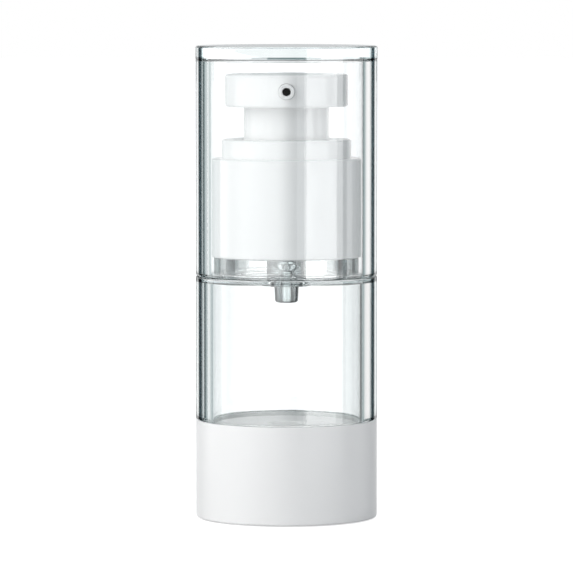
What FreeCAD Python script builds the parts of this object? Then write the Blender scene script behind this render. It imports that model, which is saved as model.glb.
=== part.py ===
"""Airless pump bottle, about 15 ml, standing upright.

Frame: millimetres, +Z up, origin at the centre of the foot, the nozzle facing -Y.
The bottle is filled from below, closed by a follower piston and a base cup, and emptied by a
spring-returned pump that snaps onto the neck. A clear overcap pulls off upwards.
Radii add up outwards from the pump's stem, and heights add up from the foot to the overcap.
"""
import FreeCAD, Part
import math
import os

import Sketcher

PARTS_FOLDER = "parts"

# Driving sizes, in millimetres
SIZES = {
    # Fits and clearances that several pieces share
    "fit_gap": 0.05,
    "slide_gap": 0.08,
    "snap_gap": 0.1,
    "guide_gap": 0.2,
    "end_gap": 0.3,
    "overrun": 1.0,
    # Base cup
    "base_height": 17.8,
    "base_wall": 1.4,
    "base_floor": 1.5,
    "base_edge_round": 0.4,
    "foot_depth": 0.9,
    "foot_width": 2.6,
    "vent_radius": 0.8,
    "vent_notch_width": 2.0,
    "vent_notch_depth": 0.45,
    "stop_ring_height": 5.0,
    "stop_ring_wall": 1.4,
    "base_rib_height": 2.0,
    "base_rib_width": 0.8,
    "base_bead_height": 0.8,
    "base_bead_depth": 0.3,
    # Bottle
    "bottle_height": 26.2,
    "bottle_skirt_wall": 1.6,
    "bottle_edge_round": 0.3,
    "shoulder_thickness": 0.9,
    "seat_step_height": 0.75,
    "seat_step_gap": 0.25,
    "neck_ring_inset": 0.4,
    "neck_ring_wall": 0.8,
    "neck_ring_height": 3.55,
    "neck_ring_floor": 0.9,
    "neck_wall": 1.65,
    "neck_bead_drop": 3.0,
    "neck_bead_height": 1.0,
    "neck_bead_depth": 0.25,
    # Follower piston
    "follower_height": 9.75,
    "follower_relief": 0.55,
    "follower_lip_height": 1.4,
    "follower_wall": 1.1,
    "follower_crown": 1.2,
    "follower_edge_round": 0.3,
    "follower_rib_height": 3.0,
    "follower_rib_width": 0.8,
    "well_gap": 0.4,
    # Stem, piston rod and pump piston
    "stroke": 5.4,
    "lost_motion": 0.8,
    "stem_bore": 1.1,
    "stem_wall": 1.0,
    "stem_top_drop": 1.5,
    "stem_flange_overlap": 0.2,
    "stem_flange_thickness": 1.0,
    "stem_flange_drop": 1.8,
    "port_height": 1.5,
    "rod_head_overlap": 0.15,
    "rod_head_height": 1.2,
    "rod_head_gap": 0.39,
    "rod_shank_length": 3.0,
    "rod_flute_width": 0.5,
    "pump_piston_height": 2.6,
    "pump_piston_wall": 0.55,
    "pump_piston_web": 0.7,
    "pump_piston_relief": 0.15,
    "pump_piston_lip_height": 0.6,
    "pump_piston_lip_drop": 0.45,
    # Inlet valve
    "ball_radius": 1.7,
    "ball_lift": 0.8,
    "ball_clearance": 0.6,
    "throat_rise": 1.1,
    "cage_thickness": 0.75,
    "cage_hole_radius": 0.5,
    "cage_hole_inset": 0.8,
    # Pump cylinder
    "cylinder_wall": 0.8,
    "flange_thickness": 1.2,
    "plug_wall": 0.8,
    "plug_depth": 3.0,
    "valve_wall": 1.3,
    "valve_shoulder": 0.6,
    "inlet_bore": 1.1,
    "spigot_reach": 0.8,
    "tip_length": 3.15,
    "tip_step": 0.7,
    "tip_taper": 0.15,
    "cylinder_bead_drop": 1.6,
    "cylinder_bead_height": 0.6,
    "cylinder_bead_depth": 0.15,
    # Cylinder cap
    "cylinder_cap_wall": 0.75,
    "cylinder_cap_top": 1.0,
    "cylinder_cap_reach": 0.7,
    "cylinder_cap_lift": 1.1,
    "stop_plug_wall": 0.8,
    "stop_plug_length": 0.65,
    # Gasket and snap closure
    "gasket_thickness": 0.4,
    "closure_wall": 1.05,
    "closure_web": 1.2,
    "closure_lift": 0.65,
    "closure_bead_height": 0.8,
    "closure_slot_width": 1.0,
    "closure_slot_margin": 1.6,
    # Return spring
    "spring_wire": 0.9,
    "spring_gap": 0.3,
    "spring_end_gap": 0.5,
    # Collar
    "collar_wall": 1.0,
    "collar_round": 0.4,
    "tier_step": 1.8,
    "tier_height": 3.4,
    "guide_wall": 0.9,
    "guide_space": 1.9,
    # Actuator button and nozzle insert
    "button_clearance": 0.5,
    "button_wall": 1.2,
    "button_top_wall": 1.4,
    "button_margin": 0.85,
    "button_round": 0.6,
    "rim_space": 2.2,
    "rim_rib_width": 0.8,
    "rim_rib_height": 2.5,
    "dish_margin": 1.8,
    "dish_depth": 0.35,
    "skirt_wall": 0.7,
    "skirt_gap": 0.2,
    "skirt_overlap": 2.9,
    "skirt_clearance": 1.8,
    "boss_wall": 1.25,
    "bar_wall": 0.65,
    "channel_radius": 1.0,
    "insert_wall": 0.4,
    "insert_length": 4.2,
    "insert_reach": 1.2,
    "insert_round": 0.2,
    "orifice_radius": 0.72,
    "orifice_length": 1.4,
    # Overcap
    "cap_gap": 0.1,
    "cap_clearance": 0.25,
    "cap_wall": 2.65,
    "cap_headroom": 2.85,
    "cap_ceiling": 2.25,
    "cap_round": 0.4,
    "cap_inner_round": 0.6,
    "cap_lead_in": 0.35,
}

# Counts
BASE_RIBS = 6
VENT_NOTCHES = 2
FOLLOWER_RIBS = 6
CLOSURE_SLOTS = 8
CAGE_HOLES = 4
ROD_FLUTES = 4
RIM_RIBS = 8
SPRING_TURNS = 7
SPRING_END_TURNS = 1
BIARCS_PER_TURN = 4
GAP_POINTS_PER_TURN = 48
FULL_TURN = 360

# Shares
HALF_SHARE = 0.5
CONE_REACH_SHARE = math.sqrt(2)
TIP_ROUND_SHARE = 0.6
ROD_CORE_SHARE = 0.48
SAME_PLACE_SHARE = 1e-6

doc = FreeCAD.newDocument("airless_pump_bottle")
sheet = doc.addObject("Spreadsheet::Sheet", "Sizes")
for row, (alias, number) in enumerate(SIZES.items(), start=1):
    sheet.set(f"A{row}", alias)
    sheet.set(f"B{row}", str(number))
    sheet.setAlias(f"B{row}", alias)
places = doc.addObject("Spreadsheet::Sheet", "Places")
doc.recompute()


class Size:
    """A length worked out from the sheets: the expression that gives it, and its present value."""

    def __init__(self, text, value):
        self.text = text
        self.value = value

    def __add__(self, other):
        return Size(f"({self.text} + {other.text})", self.value + other.value)

    def __sub__(self, other):
        return Size(f"({self.text} - {other.text})", self.value - other.value)

    def __mul__(self, share):
        return Size(f"({self.text} * {share!r})", self.value * share)

    def __neg__(self):
        return Size(f"(-{self.text})", -self.value)


class DrivingSizes:
    """Gives each driving size by its alias."""

    def __getattr__(self, alias):
        return Size(f"Sizes.{alias}", float(sheet.get(alias)))


def place(alias, size):
    """Names a radius or height that several pieces share, as a formula in the second sheet."""
    row = len(places.getUsedCells()) // 2 + 1
    places.set(f"A{row}", alias)
    places.set(f"B{row}", f"={size.text}")
    places.setAlias(f"B{row}", alias)
    return Size(f"Places.{alias}", size.value)


mm = DrivingSizes()
ZERO = Size("0", 0.0)

# Radii, from the stem outwards
stem_radius = place("stem_radius", mm.stem_bore + mm.stem_wall)
hub_bore = place("hub_bore", stem_radius + mm.slide_gap)
hub_radius = place("hub_radius", hub_bore + mm.pump_piston_wall)
rod_head_radius = place("rod_head_radius", hub_radius + mm.rod_head_overlap)
piston_skirt_bore = place("piston_skirt_bore", rod_head_radius + mm.rod_head_gap)
piston_lip_radius = place("piston_lip_radius", piston_skirt_bore + mm.pump_piston_wall)
cylinder_bore = place("cylinder_bore", piston_lip_radius + mm.slide_gap)
cylinder_radius = place("cylinder_radius", cylinder_bore + mm.cylinder_wall)
cylinder_cap_bore = place("cylinder_cap_bore", cylinder_radius + mm.fit_gap)
cylinder_cap_radius = place("cylinder_cap_radius", cylinder_cap_bore + mm.cylinder_cap_wall)
spring_inner = place("spring_inner", cylinder_cap_radius + mm.spring_gap)
spring_radius = place("spring_radius", spring_inner + mm.spring_wire * HALF_SHARE)
spring_outer = place("spring_outer", spring_inner + mm.spring_wire)
stem_flange_radius = place("stem_flange_radius", spring_outer + mm.stem_flange_overlap)
skirt_bore = place("skirt_bore", stem_flange_radius + mm.skirt_gap)
skirt_radius = place("skirt_radius", skirt_bore + mm.skirt_wall)
rim_bore = place("rim_bore", skirt_radius + mm.rim_space)
button_radius = place("button_radius", rim_bore + mm.button_wall)
guide_bore = place("guide_bore", skirt_radius + mm.guide_gap)
guide_radius = place("guide_radius", guide_bore + mm.guide_wall)
tier_bore = place("tier_bore", guide_radius + mm.guide_space)
tier_radius = place("tier_radius", tier_bore + mm.collar_wall)
collar_radius = place("collar_radius", tier_radius + mm.tier_step)
collar_bore = place("collar_bore", collar_radius - mm.collar_wall)
closure_radius = place("closure_radius", collar_bore - mm.fit_gap)
closure_bore = place("closure_bore", closure_radius - mm.closure_wall)
neck_bead_radius = place("neck_bead_radius", closure_bore - mm.snap_gap)
neck_radius = place("neck_radius", neck_bead_radius - mm.neck_bead_depth)
neck_bore = place("neck_bore", neck_radius - mm.neck_wall)
cap_bore = place("cap_bore", collar_radius + mm.cap_clearance)
body_radius = place("body_radius", cap_bore + mm.cap_wall)
base_bore = place("base_bore", body_radius - mm.base_wall)
bottle_skirt_radius = place("bottle_skirt_radius", base_bore - mm.fit_gap)
bottle_bore = place("bottle_bore", bottle_skirt_radius - mm.bottle_skirt_wall)
stop_ring_radius = place("stop_ring_radius", bottle_bore - mm.end_gap)

# Radii of the inlet, from the ball outwards, and of the nozzle
valve_bore = place("valve_bore", mm.ball_radius + mm.ball_clearance)
valve_radius = place("valve_radius", valve_bore + mm.valve_wall)
inlet_hole_radius = place("inlet_hole_radius", valve_radius - mm.valve_shoulder)
spigot_radius = place("spigot_radius", inlet_hole_radius - mm.fit_gap)
tip_radius = place("tip_radius", spigot_radius - mm.tip_step)
insert_radius = place("insert_radius", mm.channel_radius + mm.insert_wall)
insert_seat_radius = place("insert_seat_radius", insert_radius + mm.fit_gap)
bar_radius = place("bar_radius", insert_seat_radius + mm.bar_wall)
insert_front = place("insert_front", button_radius + mm.insert_reach)
insert_back = place("insert_back", insert_front - mm.insert_length)

# Heights, from the foot up to the shoulder
base_floor_top = place("base_floor_top", mm.foot_depth + mm.base_floor)
stop_ring_top = place("stop_ring_top", base_floor_top + mm.stop_ring_height)
base_bead_bottom = place("base_bead_bottom", mm.base_height * HALF_SHARE)
base_bead_top = place("base_bead_top", base_bead_bottom + mm.base_bead_height)
follower_bottom = place("follower_bottom", stop_ring_top + mm.fit_gap)
crown_top = place("crown_top", follower_bottom + mm.follower_height)
bottle_top = place("bottle_top", mm.base_height + mm.bottle_height)
shoulder_under = place("shoulder_under", bottle_top - mm.shoulder_thickness)
tip_top = place("tip_top", shoulder_under - mm.spigot_reach)
neck_ring_top = place("neck_ring_top", bottle_top + mm.neck_ring_height)

# Heights of the inlet valve and the pump, from the shoulder up
seat_tip = place("seat_tip", bottle_top + mm.throat_rise - mm.inlet_bore)
ball_centre = place("ball_centre", seat_tip + (mm.ball_radius + mm.fit_gap) * CONE_REACH_SHARE)
cage_bottom = place("cage_bottom", ball_centre + mm.ball_radius + mm.ball_lift + mm.slide_gap)
cylinder_floor = place("cylinder_floor", cage_bottom + mm.cage_thickness)
rod_bottom = place("rod_bottom", cylinder_floor + mm.end_gap + mm.stroke)
rod_head_top = place("rod_head_top", rod_bottom + mm.rod_head_height)
stem_bottom = place("stem_bottom", rod_head_top + mm.port_height)
piston_bottom = place("piston_bottom", rod_head_top + mm.fit_gap)
piston_top = place("piston_top", piston_bottom + mm.pump_piston_height)
stop_plug_bottom = place("stop_plug_bottom", piston_top + mm.lost_motion + mm.guide_gap)
cylinder_top = place("cylinder_top", stop_plug_bottom + mm.stop_plug_length)
cylinder_bead_bottom = place("cylinder_bead_bottom", cylinder_top - mm.cylinder_bead_drop)
cylinder_cap_rim = place("cylinder_cap_rim", cylinder_bead_bottom - mm.cylinder_cap_reach)
flange_top = place("flange_top", cylinder_cap_rim - mm.cylinder_cap_lift)
flange_bottom = place("flange_bottom", flange_top - mm.flange_thickness)
neck_top = place("neck_top", flange_bottom - mm.gasket_thickness)
neck_bead_middle = place("neck_bead_middle", neck_top - mm.neck_bead_drop)
neck_bead_bottom = place("neck_bead_bottom", neck_bead_middle - mm.neck_bead_height * HALF_SHARE)
neck_bead_top = place("neck_bead_top", neck_bead_bottom + mm.neck_bead_height)

# Heights of the closure, collar, button and overcap
closure_top = place("closure_top", flange_top + mm.closure_web)
closure_bottom = place("closure_bottom", neck_ring_top + mm.closure_lift)
collar_bottom = place("collar_bottom", neck_ring_top + mm.fit_gap)
skirt_bottom = place("skirt_bottom", closure_top + mm.skirt_clearance + mm.stroke)
collar_top = place("collar_top", skirt_bottom + mm.skirt_overlap)
collar_step = place("collar_step", collar_top - mm.tier_height)
button_bottom = place("button_bottom", collar_top + mm.stroke + mm.button_clearance)
nozzle_height = place("nozzle_height", button_bottom + mm.button_margin + bar_radius)
button_top = place("button_top", nozzle_height + bar_radius + mm.button_margin)
button_under = place("button_under", button_top - mm.button_top_wall)
stem_top = place("stem_top", nozzle_height - mm.stem_top_drop)
stem_flange_top = place("stem_flange_top", button_bottom - mm.stem_flange_drop)
stem_flange_bottom = place("stem_flange_bottom", stem_flange_top - mm.stem_flange_thickness)
cap_bottom = place("cap_bottom", bottle_top + mm.cap_gap)
cap_under = place("cap_under", button_top + mm.cap_headroom)
cap_top = place("cap_top", cap_under + mm.cap_ceiling)
doc.recompute()


# Sketches

def new_body(label):
    body = doc.addObject("PartDesign::Body", label)
    body.Label = label
    return body


def sketch_on(body, name, role, offset=ZERO, direction="z"):
    """A sketch on one of the body's own origin planes, moved by offset along its own x, y or z."""
    sketch = body.newObject("Sketcher::SketchObject", name)
    plane = next(item for item in body.Origin.OriginFeatures if item.Role == role)
    sketch.AttachmentSupport = [(plane, "")]
    sketch.MapMode = "FlatFace"
    sketch.Visibility = False
    if offset is not ZERO:
        sketch.setExpression(f"AttachmentOffset.Base.{direction}", offset.text)
    return sketch


def tie_point(sketch, element, end, across, up):
    """Holds one point of a sketch element at (across, up) by expressions."""
    for kind, axis, size in (("DistanceX", -2, across), ("DistanceY", -1, up)):
        if size is ZERO:
            sketch.addConstraint(Sketcher.Constraint("PointOnObject", element, end, axis))
        else:
            index = sketch.addConstraint(Sketcher.Constraint(kind, element, end, size.value))
            sketch.setExpression(f"Constraints[{index}]", size.text)


def join_ends(sketch, count):
    """Makes each of the first elements of a sketch start where the one before it ends."""
    sketch.addConstraint([Sketcher.Constraint("Coincident", i, 2, (i + 1) % count, 1) for i in range(count)])


def draw_outline(sketch, points):
    """A closed outline of straight lines through points given as pairs of sizes."""
    corners = [FreeCAD.Vector(across.value, up.value, 0) for across, up in points]
    followers = corners[1:] + corners[:1]
    sketch.addGeometry([Part.LineSegment(start, end) for start, end in zip(corners, followers)])
    join_ends(sketch, len(corners))
    for i, (across, up) in enumerate(points):
        tie_point(sketch, i, 1, across, up)
    return sketch


def draw_circle(sketch, across, up, radius):
    centre = FreeCAD.Vector(across.value, up.value, 0)
    circle = sketch.addGeometry(Part.Circle(centre, FreeCAD.Vector(0, 0, 1), radius.value))
    tie_point(sketch, circle, 3, across, up)
    index = sketch.addConstraint(Sketcher.Constraint("Radius", circle, radius.value))
    sketch.setExpression(f"Constraints[{index}]", radius.text)
    return sketch


def draw_strip(sketch, start, end, width):
    """A rectangle along the sketch's x axis, centred on it."""
    half = width * HALF_SHARE
    return draw_outline(sketch, [(start, -half), (end, -half), (end, half), (start, half)])


# Features

def settle(body, feature, before, grows):
    """Recomputes with feature as the body's tip, and stops if it added or removed nothing."""
    body.Tip = feature
    doc.recompute()
    change = feature.Shape.Volume - before
    if change == 0 or (change > 0) != grows:
        raise RuntimeError(f"{body.Label}: {feature.Name} changed the volume by {change:.4f} mm3")
    return feature


def spin(body, kind, name, sketch, axis, before, grows):
    feature = body.newObject(f"PartDesign::{kind}", name)
    feature.Profile = sketch
    feature.ReferenceAxis = (sketch, [axis])
    feature.Angle = FULL_TURN
    return settle(body, feature, before, grows)


def turned_body(label, points):
    """A body turned about Z from an outline of (radius, height) pairs."""
    body = new_body(label)
    sketch = draw_outline(sketch_on(body, f"{label}_outline", "XZ_Plane"), points)
    spin(body, "Revolution", f"{label}_turned", sketch, "V_Axis", 0, grows=True)
    return body


def turned_cut(body, name, sketch):
    return spin(body, "Groove", name, sketch, "V_Axis", body.Tip.Shape.Volume, grows=False)


def pad(body, name, sketch, length):
    before = body.Tip.Shape.Volume
    feature = body.newObject("PartDesign::Pad", name)
    feature.Profile = sketch
    feature.setExpression("Length", length.text)
    return settle(body, feature, before, grows=True)


def pocket(body, name, sketch, length):
    """Cuts from the sketch along its normal, over a length."""
    before = body.Tip.Shape.Volume
    feature = body.newObject("PartDesign::Pocket", name)
    feature.Profile = sketch
    feature.Reversed = True
    feature.setExpression("Length", length.text)
    return settle(body, feature, before, grows=False)


def repeat_round(body, name, feature, sketch, count, grows):
    """Copies a feature evenly round Z."""
    before = body.Tip.Shape.Volume
    pattern = body.newObject("PartDesign::PolarPattern", name)
    pattern.Originals = [feature]
    pattern.Axis = (sketch, ["N_Axis"])
    pattern.Angle = FULL_TURN
    pattern.Occurrences = count
    return settle(body, pattern, before, grows)


def ring_edges(shape, rings):
    """The names of the circular edges about Z that have the given (radius, height) pairs."""
    near = shape.BoundBox.DiagonalLength * SAME_PLACE_SHARE
    names = []
    for radius, height in rings:
        for number, edge in enumerate(shape.Edges, start=1):
            curve = edge.Curve
            if not isinstance(curve, Part.Circle):
                continue
            middle = FreeCAD.Vector(0, 0, height.value)
            if (curve.Center - middle).Length < near and abs(curve.Radius - radius.value) < near:
                names.append(f"Edge{number}")
    return names


def round_edges(body, name, rings, radius):
    """Fillets the circular edges at the given (radius, height) pairs."""
    base = body.Tip
    names = ring_edges(base.Shape, rings)
    if len(names) < len(rings):
        raise RuntimeError(f"{body.Label}: {name} found {len(names)} of {len(rings)} edges")
    feature = body.newObject("PartDesign::Fillet", name)
    feature.Base = (base, names)
    feature.setExpression("Radius", radius.text)
    body.Tip = feature
    doc.recompute()
    return feature


# Base cup: foot ring with vent notches, pierced floor, wall with a snap bead, stop for the follower

def make_base_cup():
    foot_radius = body_radius - mm.foot_width
    stop_ring_bore = stop_ring_radius - mm.stop_ring_wall
    bead_radius = base_bore - mm.base_bead_depth
    body = turned_body("base_cup", [
        (mm.vent_radius, mm.foot_depth),
        (foot_radius, mm.foot_depth),
        (foot_radius, ZERO),
        (body_radius, ZERO),
        (body_radius, mm.base_height),
        (base_bore, mm.base_height),
        (base_bore, base_bead_top + mm.base_bead_depth),
        (bead_radius, base_bead_top),
        (bead_radius, base_bead_bottom),
        (base_bore, base_bead_bottom - mm.base_bead_depth),
        (base_bore, base_floor_top),
        (stop_ring_radius, base_floor_top),
        (stop_ring_radius, stop_ring_top),
        (stop_ring_bore, stop_ring_top),
        (stop_ring_bore, base_floor_top),
        (mm.vent_radius, base_floor_top),
    ])
    round_edges(body, "foot_round", [(body_radius, ZERO)], mm.base_edge_round)

    ribs = sketch_on(body, "floor_rib_plan", "XY_Plane", base_floor_top - mm.fit_gap)
    draw_strip(ribs, mm.vent_radius + mm.base_rib_width, stop_ring_bore + mm.fit_gap, mm.base_rib_width)
    rib = pad(body, "floor_rib", ribs, mm.base_rib_height + mm.fit_gap)
    repeat_round(body, "floor_ribs", rib, ribs, BASE_RIBS, grows=True)

    notches = sketch_on(body, "vent_notch_plan", "XY_Plane", -mm.overrun)
    draw_strip(notches, foot_radius - mm.overrun, body_radius + mm.overrun, mm.vent_notch_width)
    notch = pocket(body, "vent_notch", notches, mm.vent_notch_depth + mm.overrun)
    repeat_round(body, "vent_notches", notch, notches, VENT_NOTCHES, grows=False)
    return body


# Bottle: thick clear wall, lower skirt inside the base, shoulder, neck ring and snap neck

def make_bottle():
    skirt_end = base_floor_top + mm.end_gap
    step = mm.base_height + mm.fit_gap
    groove_radius = bottle_skirt_radius - mm.base_bead_depth - mm.snap_gap
    groove_bottom = base_bead_bottom - mm.base_bead_depth - mm.snap_gap
    groove_top = base_bead_top + mm.base_bead_depth + mm.snap_gap
    seat_radius = cap_bore - mm.seat_step_gap
    seat_top = bottle_top + mm.seat_step_height
    ring_radius = collar_radius - mm.neck_ring_inset
    ring_bore = ring_radius - mm.neck_ring_wall
    ring_floor = bottle_top + mm.neck_ring_floor
    body = turned_body("bottle", [
        (bottle_bore, skirt_end),
        (bottle_skirt_radius, skirt_end),
        (bottle_skirt_radius, groove_bottom),
        (groove_radius, groove_bottom),
        (groove_radius, groove_top),
        (bottle_skirt_radius, groove_top),
        (bottle_skirt_radius, step),
        (body_radius, step),
        (body_radius, bottle_top),
        (seat_radius, bottle_top),
        (seat_radius, seat_top),
        (ring_radius, seat_top),
        (ring_radius, neck_ring_top),
        (ring_bore, neck_ring_top),
        (ring_bore, ring_floor),
        (neck_radius, ring_floor),
        (neck_radius, neck_bead_bottom),
        (neck_bead_radius, neck_bead_bottom + mm.neck_bead_depth),
        (neck_bead_radius, neck_bead_top - mm.neck_bead_depth),
        (neck_radius, neck_bead_top),
        (neck_radius, neck_top),
        (neck_bore, neck_top),
        (neck_bore, bottle_top),
        (inlet_hole_radius, bottle_top),
        (inlet_hole_radius, shoulder_under),
        (bottle_bore, shoulder_under),
    ])
    rims = [(body_radius, bottle_top), (body_radius, step)]
    round_edges(body, "bottle_rounds", rims, mm.bottle_edge_round)
    return body


# Follower piston: crown with a well for the inlet tip, two wiping lips, ribs under the crown

def make_follower_piston():
    lip_radius = bottle_bore - mm.slide_gap
    waist_radius = lip_radius - mm.follower_relief
    sleeve_bore = waist_radius - mm.follower_wall
    crown_under = crown_top - mm.follower_crown
    well_radius = spigot_radius + mm.well_gap
    well_outer = well_radius + mm.follower_wall
    well_floor = crown_top - mm.spigot_reach - mm.tip_length - mm.well_gap
    well_under = well_floor - mm.follower_crown
    upper_lip = crown_top - mm.follower_lip_height
    lower_lip = follower_bottom + mm.follower_lip_height
    body = turned_body("follower_piston", [
        (ZERO, well_floor),
        (well_radius, well_floor),
        (well_radius, crown_top),
        (lip_radius, crown_top),
        (lip_radius, upper_lip),
        (waist_radius, upper_lip - mm.follower_relief),
        (waist_radius, lower_lip + mm.follower_relief),
        (lip_radius, lower_lip),
        (lip_radius, follower_bottom),
        (sleeve_bore, follower_bottom),
        (sleeve_bore, crown_under),
        (well_outer, crown_under),
        (well_outer, well_under),
        (ZERO, well_under),
    ])
    rims = [(lip_radius, crown_top), (well_radius, crown_top)]
    round_edges(body, "crown_rounds", rims, mm.follower_edge_round)

    ribs = sketch_on(body, "crown_rib_plan", "XY_Plane", crown_under - mm.follower_rib_height)
    draw_strip(ribs, well_outer - mm.fit_gap, sleeve_bore + mm.fit_gap, mm.follower_rib_width)
    rib = pad(body, "crown_rib", ribs, mm.follower_rib_height + mm.fit_gap)
    repeat_round(body, "crown_ribs", rib, ribs, FOLLOWER_RIBS, grows=True)
    return body


# Pump cylinder: flange on the neck, plug wall, bore for the pump piston, valve body, spigot and inlet tip

def make_pump_cylinder():
    plug_radius = neck_bore - mm.fit_gap
    plug_bore = plug_radius - mm.plug_wall
    plug_bottom = flange_bottom - mm.plug_depth
    outer_floor = cylinder_floor - mm.cylinder_wall
    valve_bottom = bottle_top + mm.fit_gap
    tip_end = tip_top - mm.tip_length
    tip_end_radius = tip_radius - mm.tip_taper
    bead_radius = cylinder_radius + mm.cylinder_bead_depth
    bead_top = cylinder_bead_bottom + mm.cylinder_bead_height
    body = turned_body("pump_cylinder", [
        (mm.inlet_bore, tip_end),
        (tip_end_radius, tip_end),
        (tip_radius, tip_top),
        (spigot_radius, tip_top),
        (spigot_radius, valve_bottom),
        (valve_radius, valve_bottom),
        (valve_radius, outer_floor),
        (cylinder_radius, outer_floor),
        (cylinder_radius, flange_bottom),
        (plug_bore, flange_bottom),
        (plug_bore, plug_bottom),
        (plug_radius, plug_bottom),
        (plug_radius, flange_bottom),
        (neck_radius, flange_bottom),
        (neck_radius, flange_top),
        (cylinder_radius, flange_top),
        (cylinder_radius, cylinder_bead_bottom),
        (bead_radius, cylinder_bead_bottom + mm.cylinder_bead_depth),
        (bead_radius, bead_top - mm.cylinder_bead_depth),
        (cylinder_radius, bead_top),
        (cylinder_radius, cylinder_top),
        (cylinder_bore, cylinder_top),
        (cylinder_bore, cylinder_floor),
        (valve_bore, cylinder_floor),
        (valve_bore, seat_tip + valve_bore),
        (mm.inlet_bore, seat_tip + mm.inlet_bore),
    ])
    tip_wall = tip_end_radius - mm.inlet_bore
    round_edges(body, "tip_round", [(tip_end_radius, tip_end)], tip_wall * TIP_ROUND_SHARE)
    return body


# Inlet valve: a loose ball in a cone of 45 degrees, and the pierced disc that limits its lift

def make_inlet_ball():
    ball = doc.addObject("Part::Sphere", "inlet_ball")
    ball.Label = "inlet_ball"
    ball.setExpression("Radius", mm.ball_radius.text)
    ball.setExpression("Placement.Base.z", ball_centre.text)
    doc.recompute()
    return ball


def make_ball_cage():
    cage_radius = valve_bore - mm.fit_gap
    body = turned_body("ball_cage", [
        (ZERO, cage_bottom),
        (cage_radius, cage_bottom),
        (cage_radius, cylinder_floor),
        (ZERO, cylinder_floor),
    ])
    plan = sketch_on(body, "flow_hole_plan", "XY_Plane", cage_bottom - mm.overrun)
    draw_circle(plan, cage_radius - mm.cage_hole_inset, ZERO, mm.cage_hole_radius)
    hole = pocket(body, "flow_hole", plan, mm.cage_thickness + mm.overrun + mm.overrun)
    repeat_round(body, "flow_holes", hole, plan, CAGE_HOLES, grows=False)
    return body


# Gasket and snap closure: the slotted skirt clips under the neck bead and clamps the pump's flange

def make_neck_gasket():
    return turned_body("neck_gasket", [
        (neck_bore, neck_top),
        (neck_radius, neck_top),
        (neck_radius, flange_bottom),
        (neck_bore, flange_bottom),
    ])


def make_snap_closure():
    hole_radius = spring_outer + mm.spring_gap
    bead_radius = neck_radius + mm.snap_gap
    bead_top = neck_bead_bottom - mm.snap_gap
    bead_bottom = bead_top - mm.closure_bead_height
    bead_lead = closure_bore - bead_radius
    body = turned_body("snap_closure", [
        (closure_bore, closure_bottom),
        (closure_radius, closure_bottom),
        (closure_radius, closure_top),
        (hole_radius, closure_top),
        (hole_radius, flange_top),
        (closure_bore, flange_top),
        (closure_bore, bead_top),
        (bead_radius, bead_top - bead_lead),
        (bead_radius, bead_bottom + bead_lead),
        (closure_bore, bead_bottom),
    ])
    plan = sketch_on(body, "finger_slot_plan", "XY_Plane", closure_bottom - mm.overrun)
    draw_strip(plan, bead_radius - mm.overrun, closure_radius + mm.overrun, mm.closure_slot_width)
    slot_top = flange_bottom - mm.closure_slot_margin
    slot = pocket(body, "finger_slot", plan, slot_top - closure_bottom + mm.overrun)
    repeat_round(body, "finger_slots", slot, plan, CLOSURE_SLOTS, grows=False)
    return body


# Collar: two-tier cover over the closure, with the sleeve that guides the button's skirt

def make_collar():
    step_under = collar_step - mm.collar_wall
    top_under = collar_top - mm.collar_wall
    guide_bottom = closure_top + mm.fit_gap
    body = turned_body("collar", [
        (collar_bore, collar_bottom),
        (collar_radius, collar_bottom),
        (collar_radius, collar_step),
        (tier_radius, collar_step),
        (tier_radius, collar_top),
        (guide_bore, collar_top),
        (guide_bore, guide_bottom),
        (guide_radius, guide_bottom),
        (guide_radius, top_under),
        (tier_bore, top_under),
        (tier_bore, step_under),
        (collar_bore, step_under),
    ])
    round_edges(body, "collar_rounds", [
        (collar_radius, collar_bottom),
        (collar_radius, collar_step),
        (tier_radius, collar_top),
        (guide_bore, collar_top),
    ], mm.collar_round)
    return body


# Cylinder cap: snaps over the cylinder's mouth, guides the stem and stops the pump piston

def make_cylinder_cap():
    groove_radius = cylinder_cap_bore + mm.cylinder_bead_depth + mm.fit_gap
    groove_bottom = cylinder_bead_bottom - mm.snap_gap
    groove_top = cylinder_bead_bottom + mm.cylinder_bead_height + mm.snap_gap
    top_under = cylinder_top + mm.fit_gap
    top = top_under + mm.cylinder_cap_top
    plug_radius = cylinder_bore - mm.fit_gap
    plug_bore = plug_radius - mm.stop_plug_wall
    stem_hole = stem_radius + mm.guide_gap
    return turned_body("cylinder_cap", [
        (stem_hole, top_under),
        (plug_bore, top_under),
        (plug_bore, stop_plug_bottom),
        (plug_radius, stop_plug_bottom),
        (plug_radius, top_under),
        (cylinder_cap_bore, top_under),
        (cylinder_cap_bore, groove_top),
        (groove_radius, groove_top),
        (groove_radius, groove_bottom),
        (cylinder_cap_bore, groove_bottom),
        (cylinder_cap_bore, cylinder_cap_rim),
        (cylinder_cap_radius, cylinder_cap_rim),
        (cylinder_cap_radius, top),
        (stem_hole, top),
    ])


# Stem, piston rod and pump piston: the piston shifts on the stem to open the way past the rod's head

def make_stem():
    return turned_body("stem", [
        (mm.stem_bore, stem_bottom),
        (stem_radius, stem_bottom),
        (stem_radius, stem_flange_bottom),
        (stem_flange_radius, stem_flange_bottom),
        (stem_flange_radius, stem_flange_top),
        (stem_radius, stem_flange_top),
        (stem_radius, stem_top),
        (mm.stem_bore, stem_top),
    ])


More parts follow.
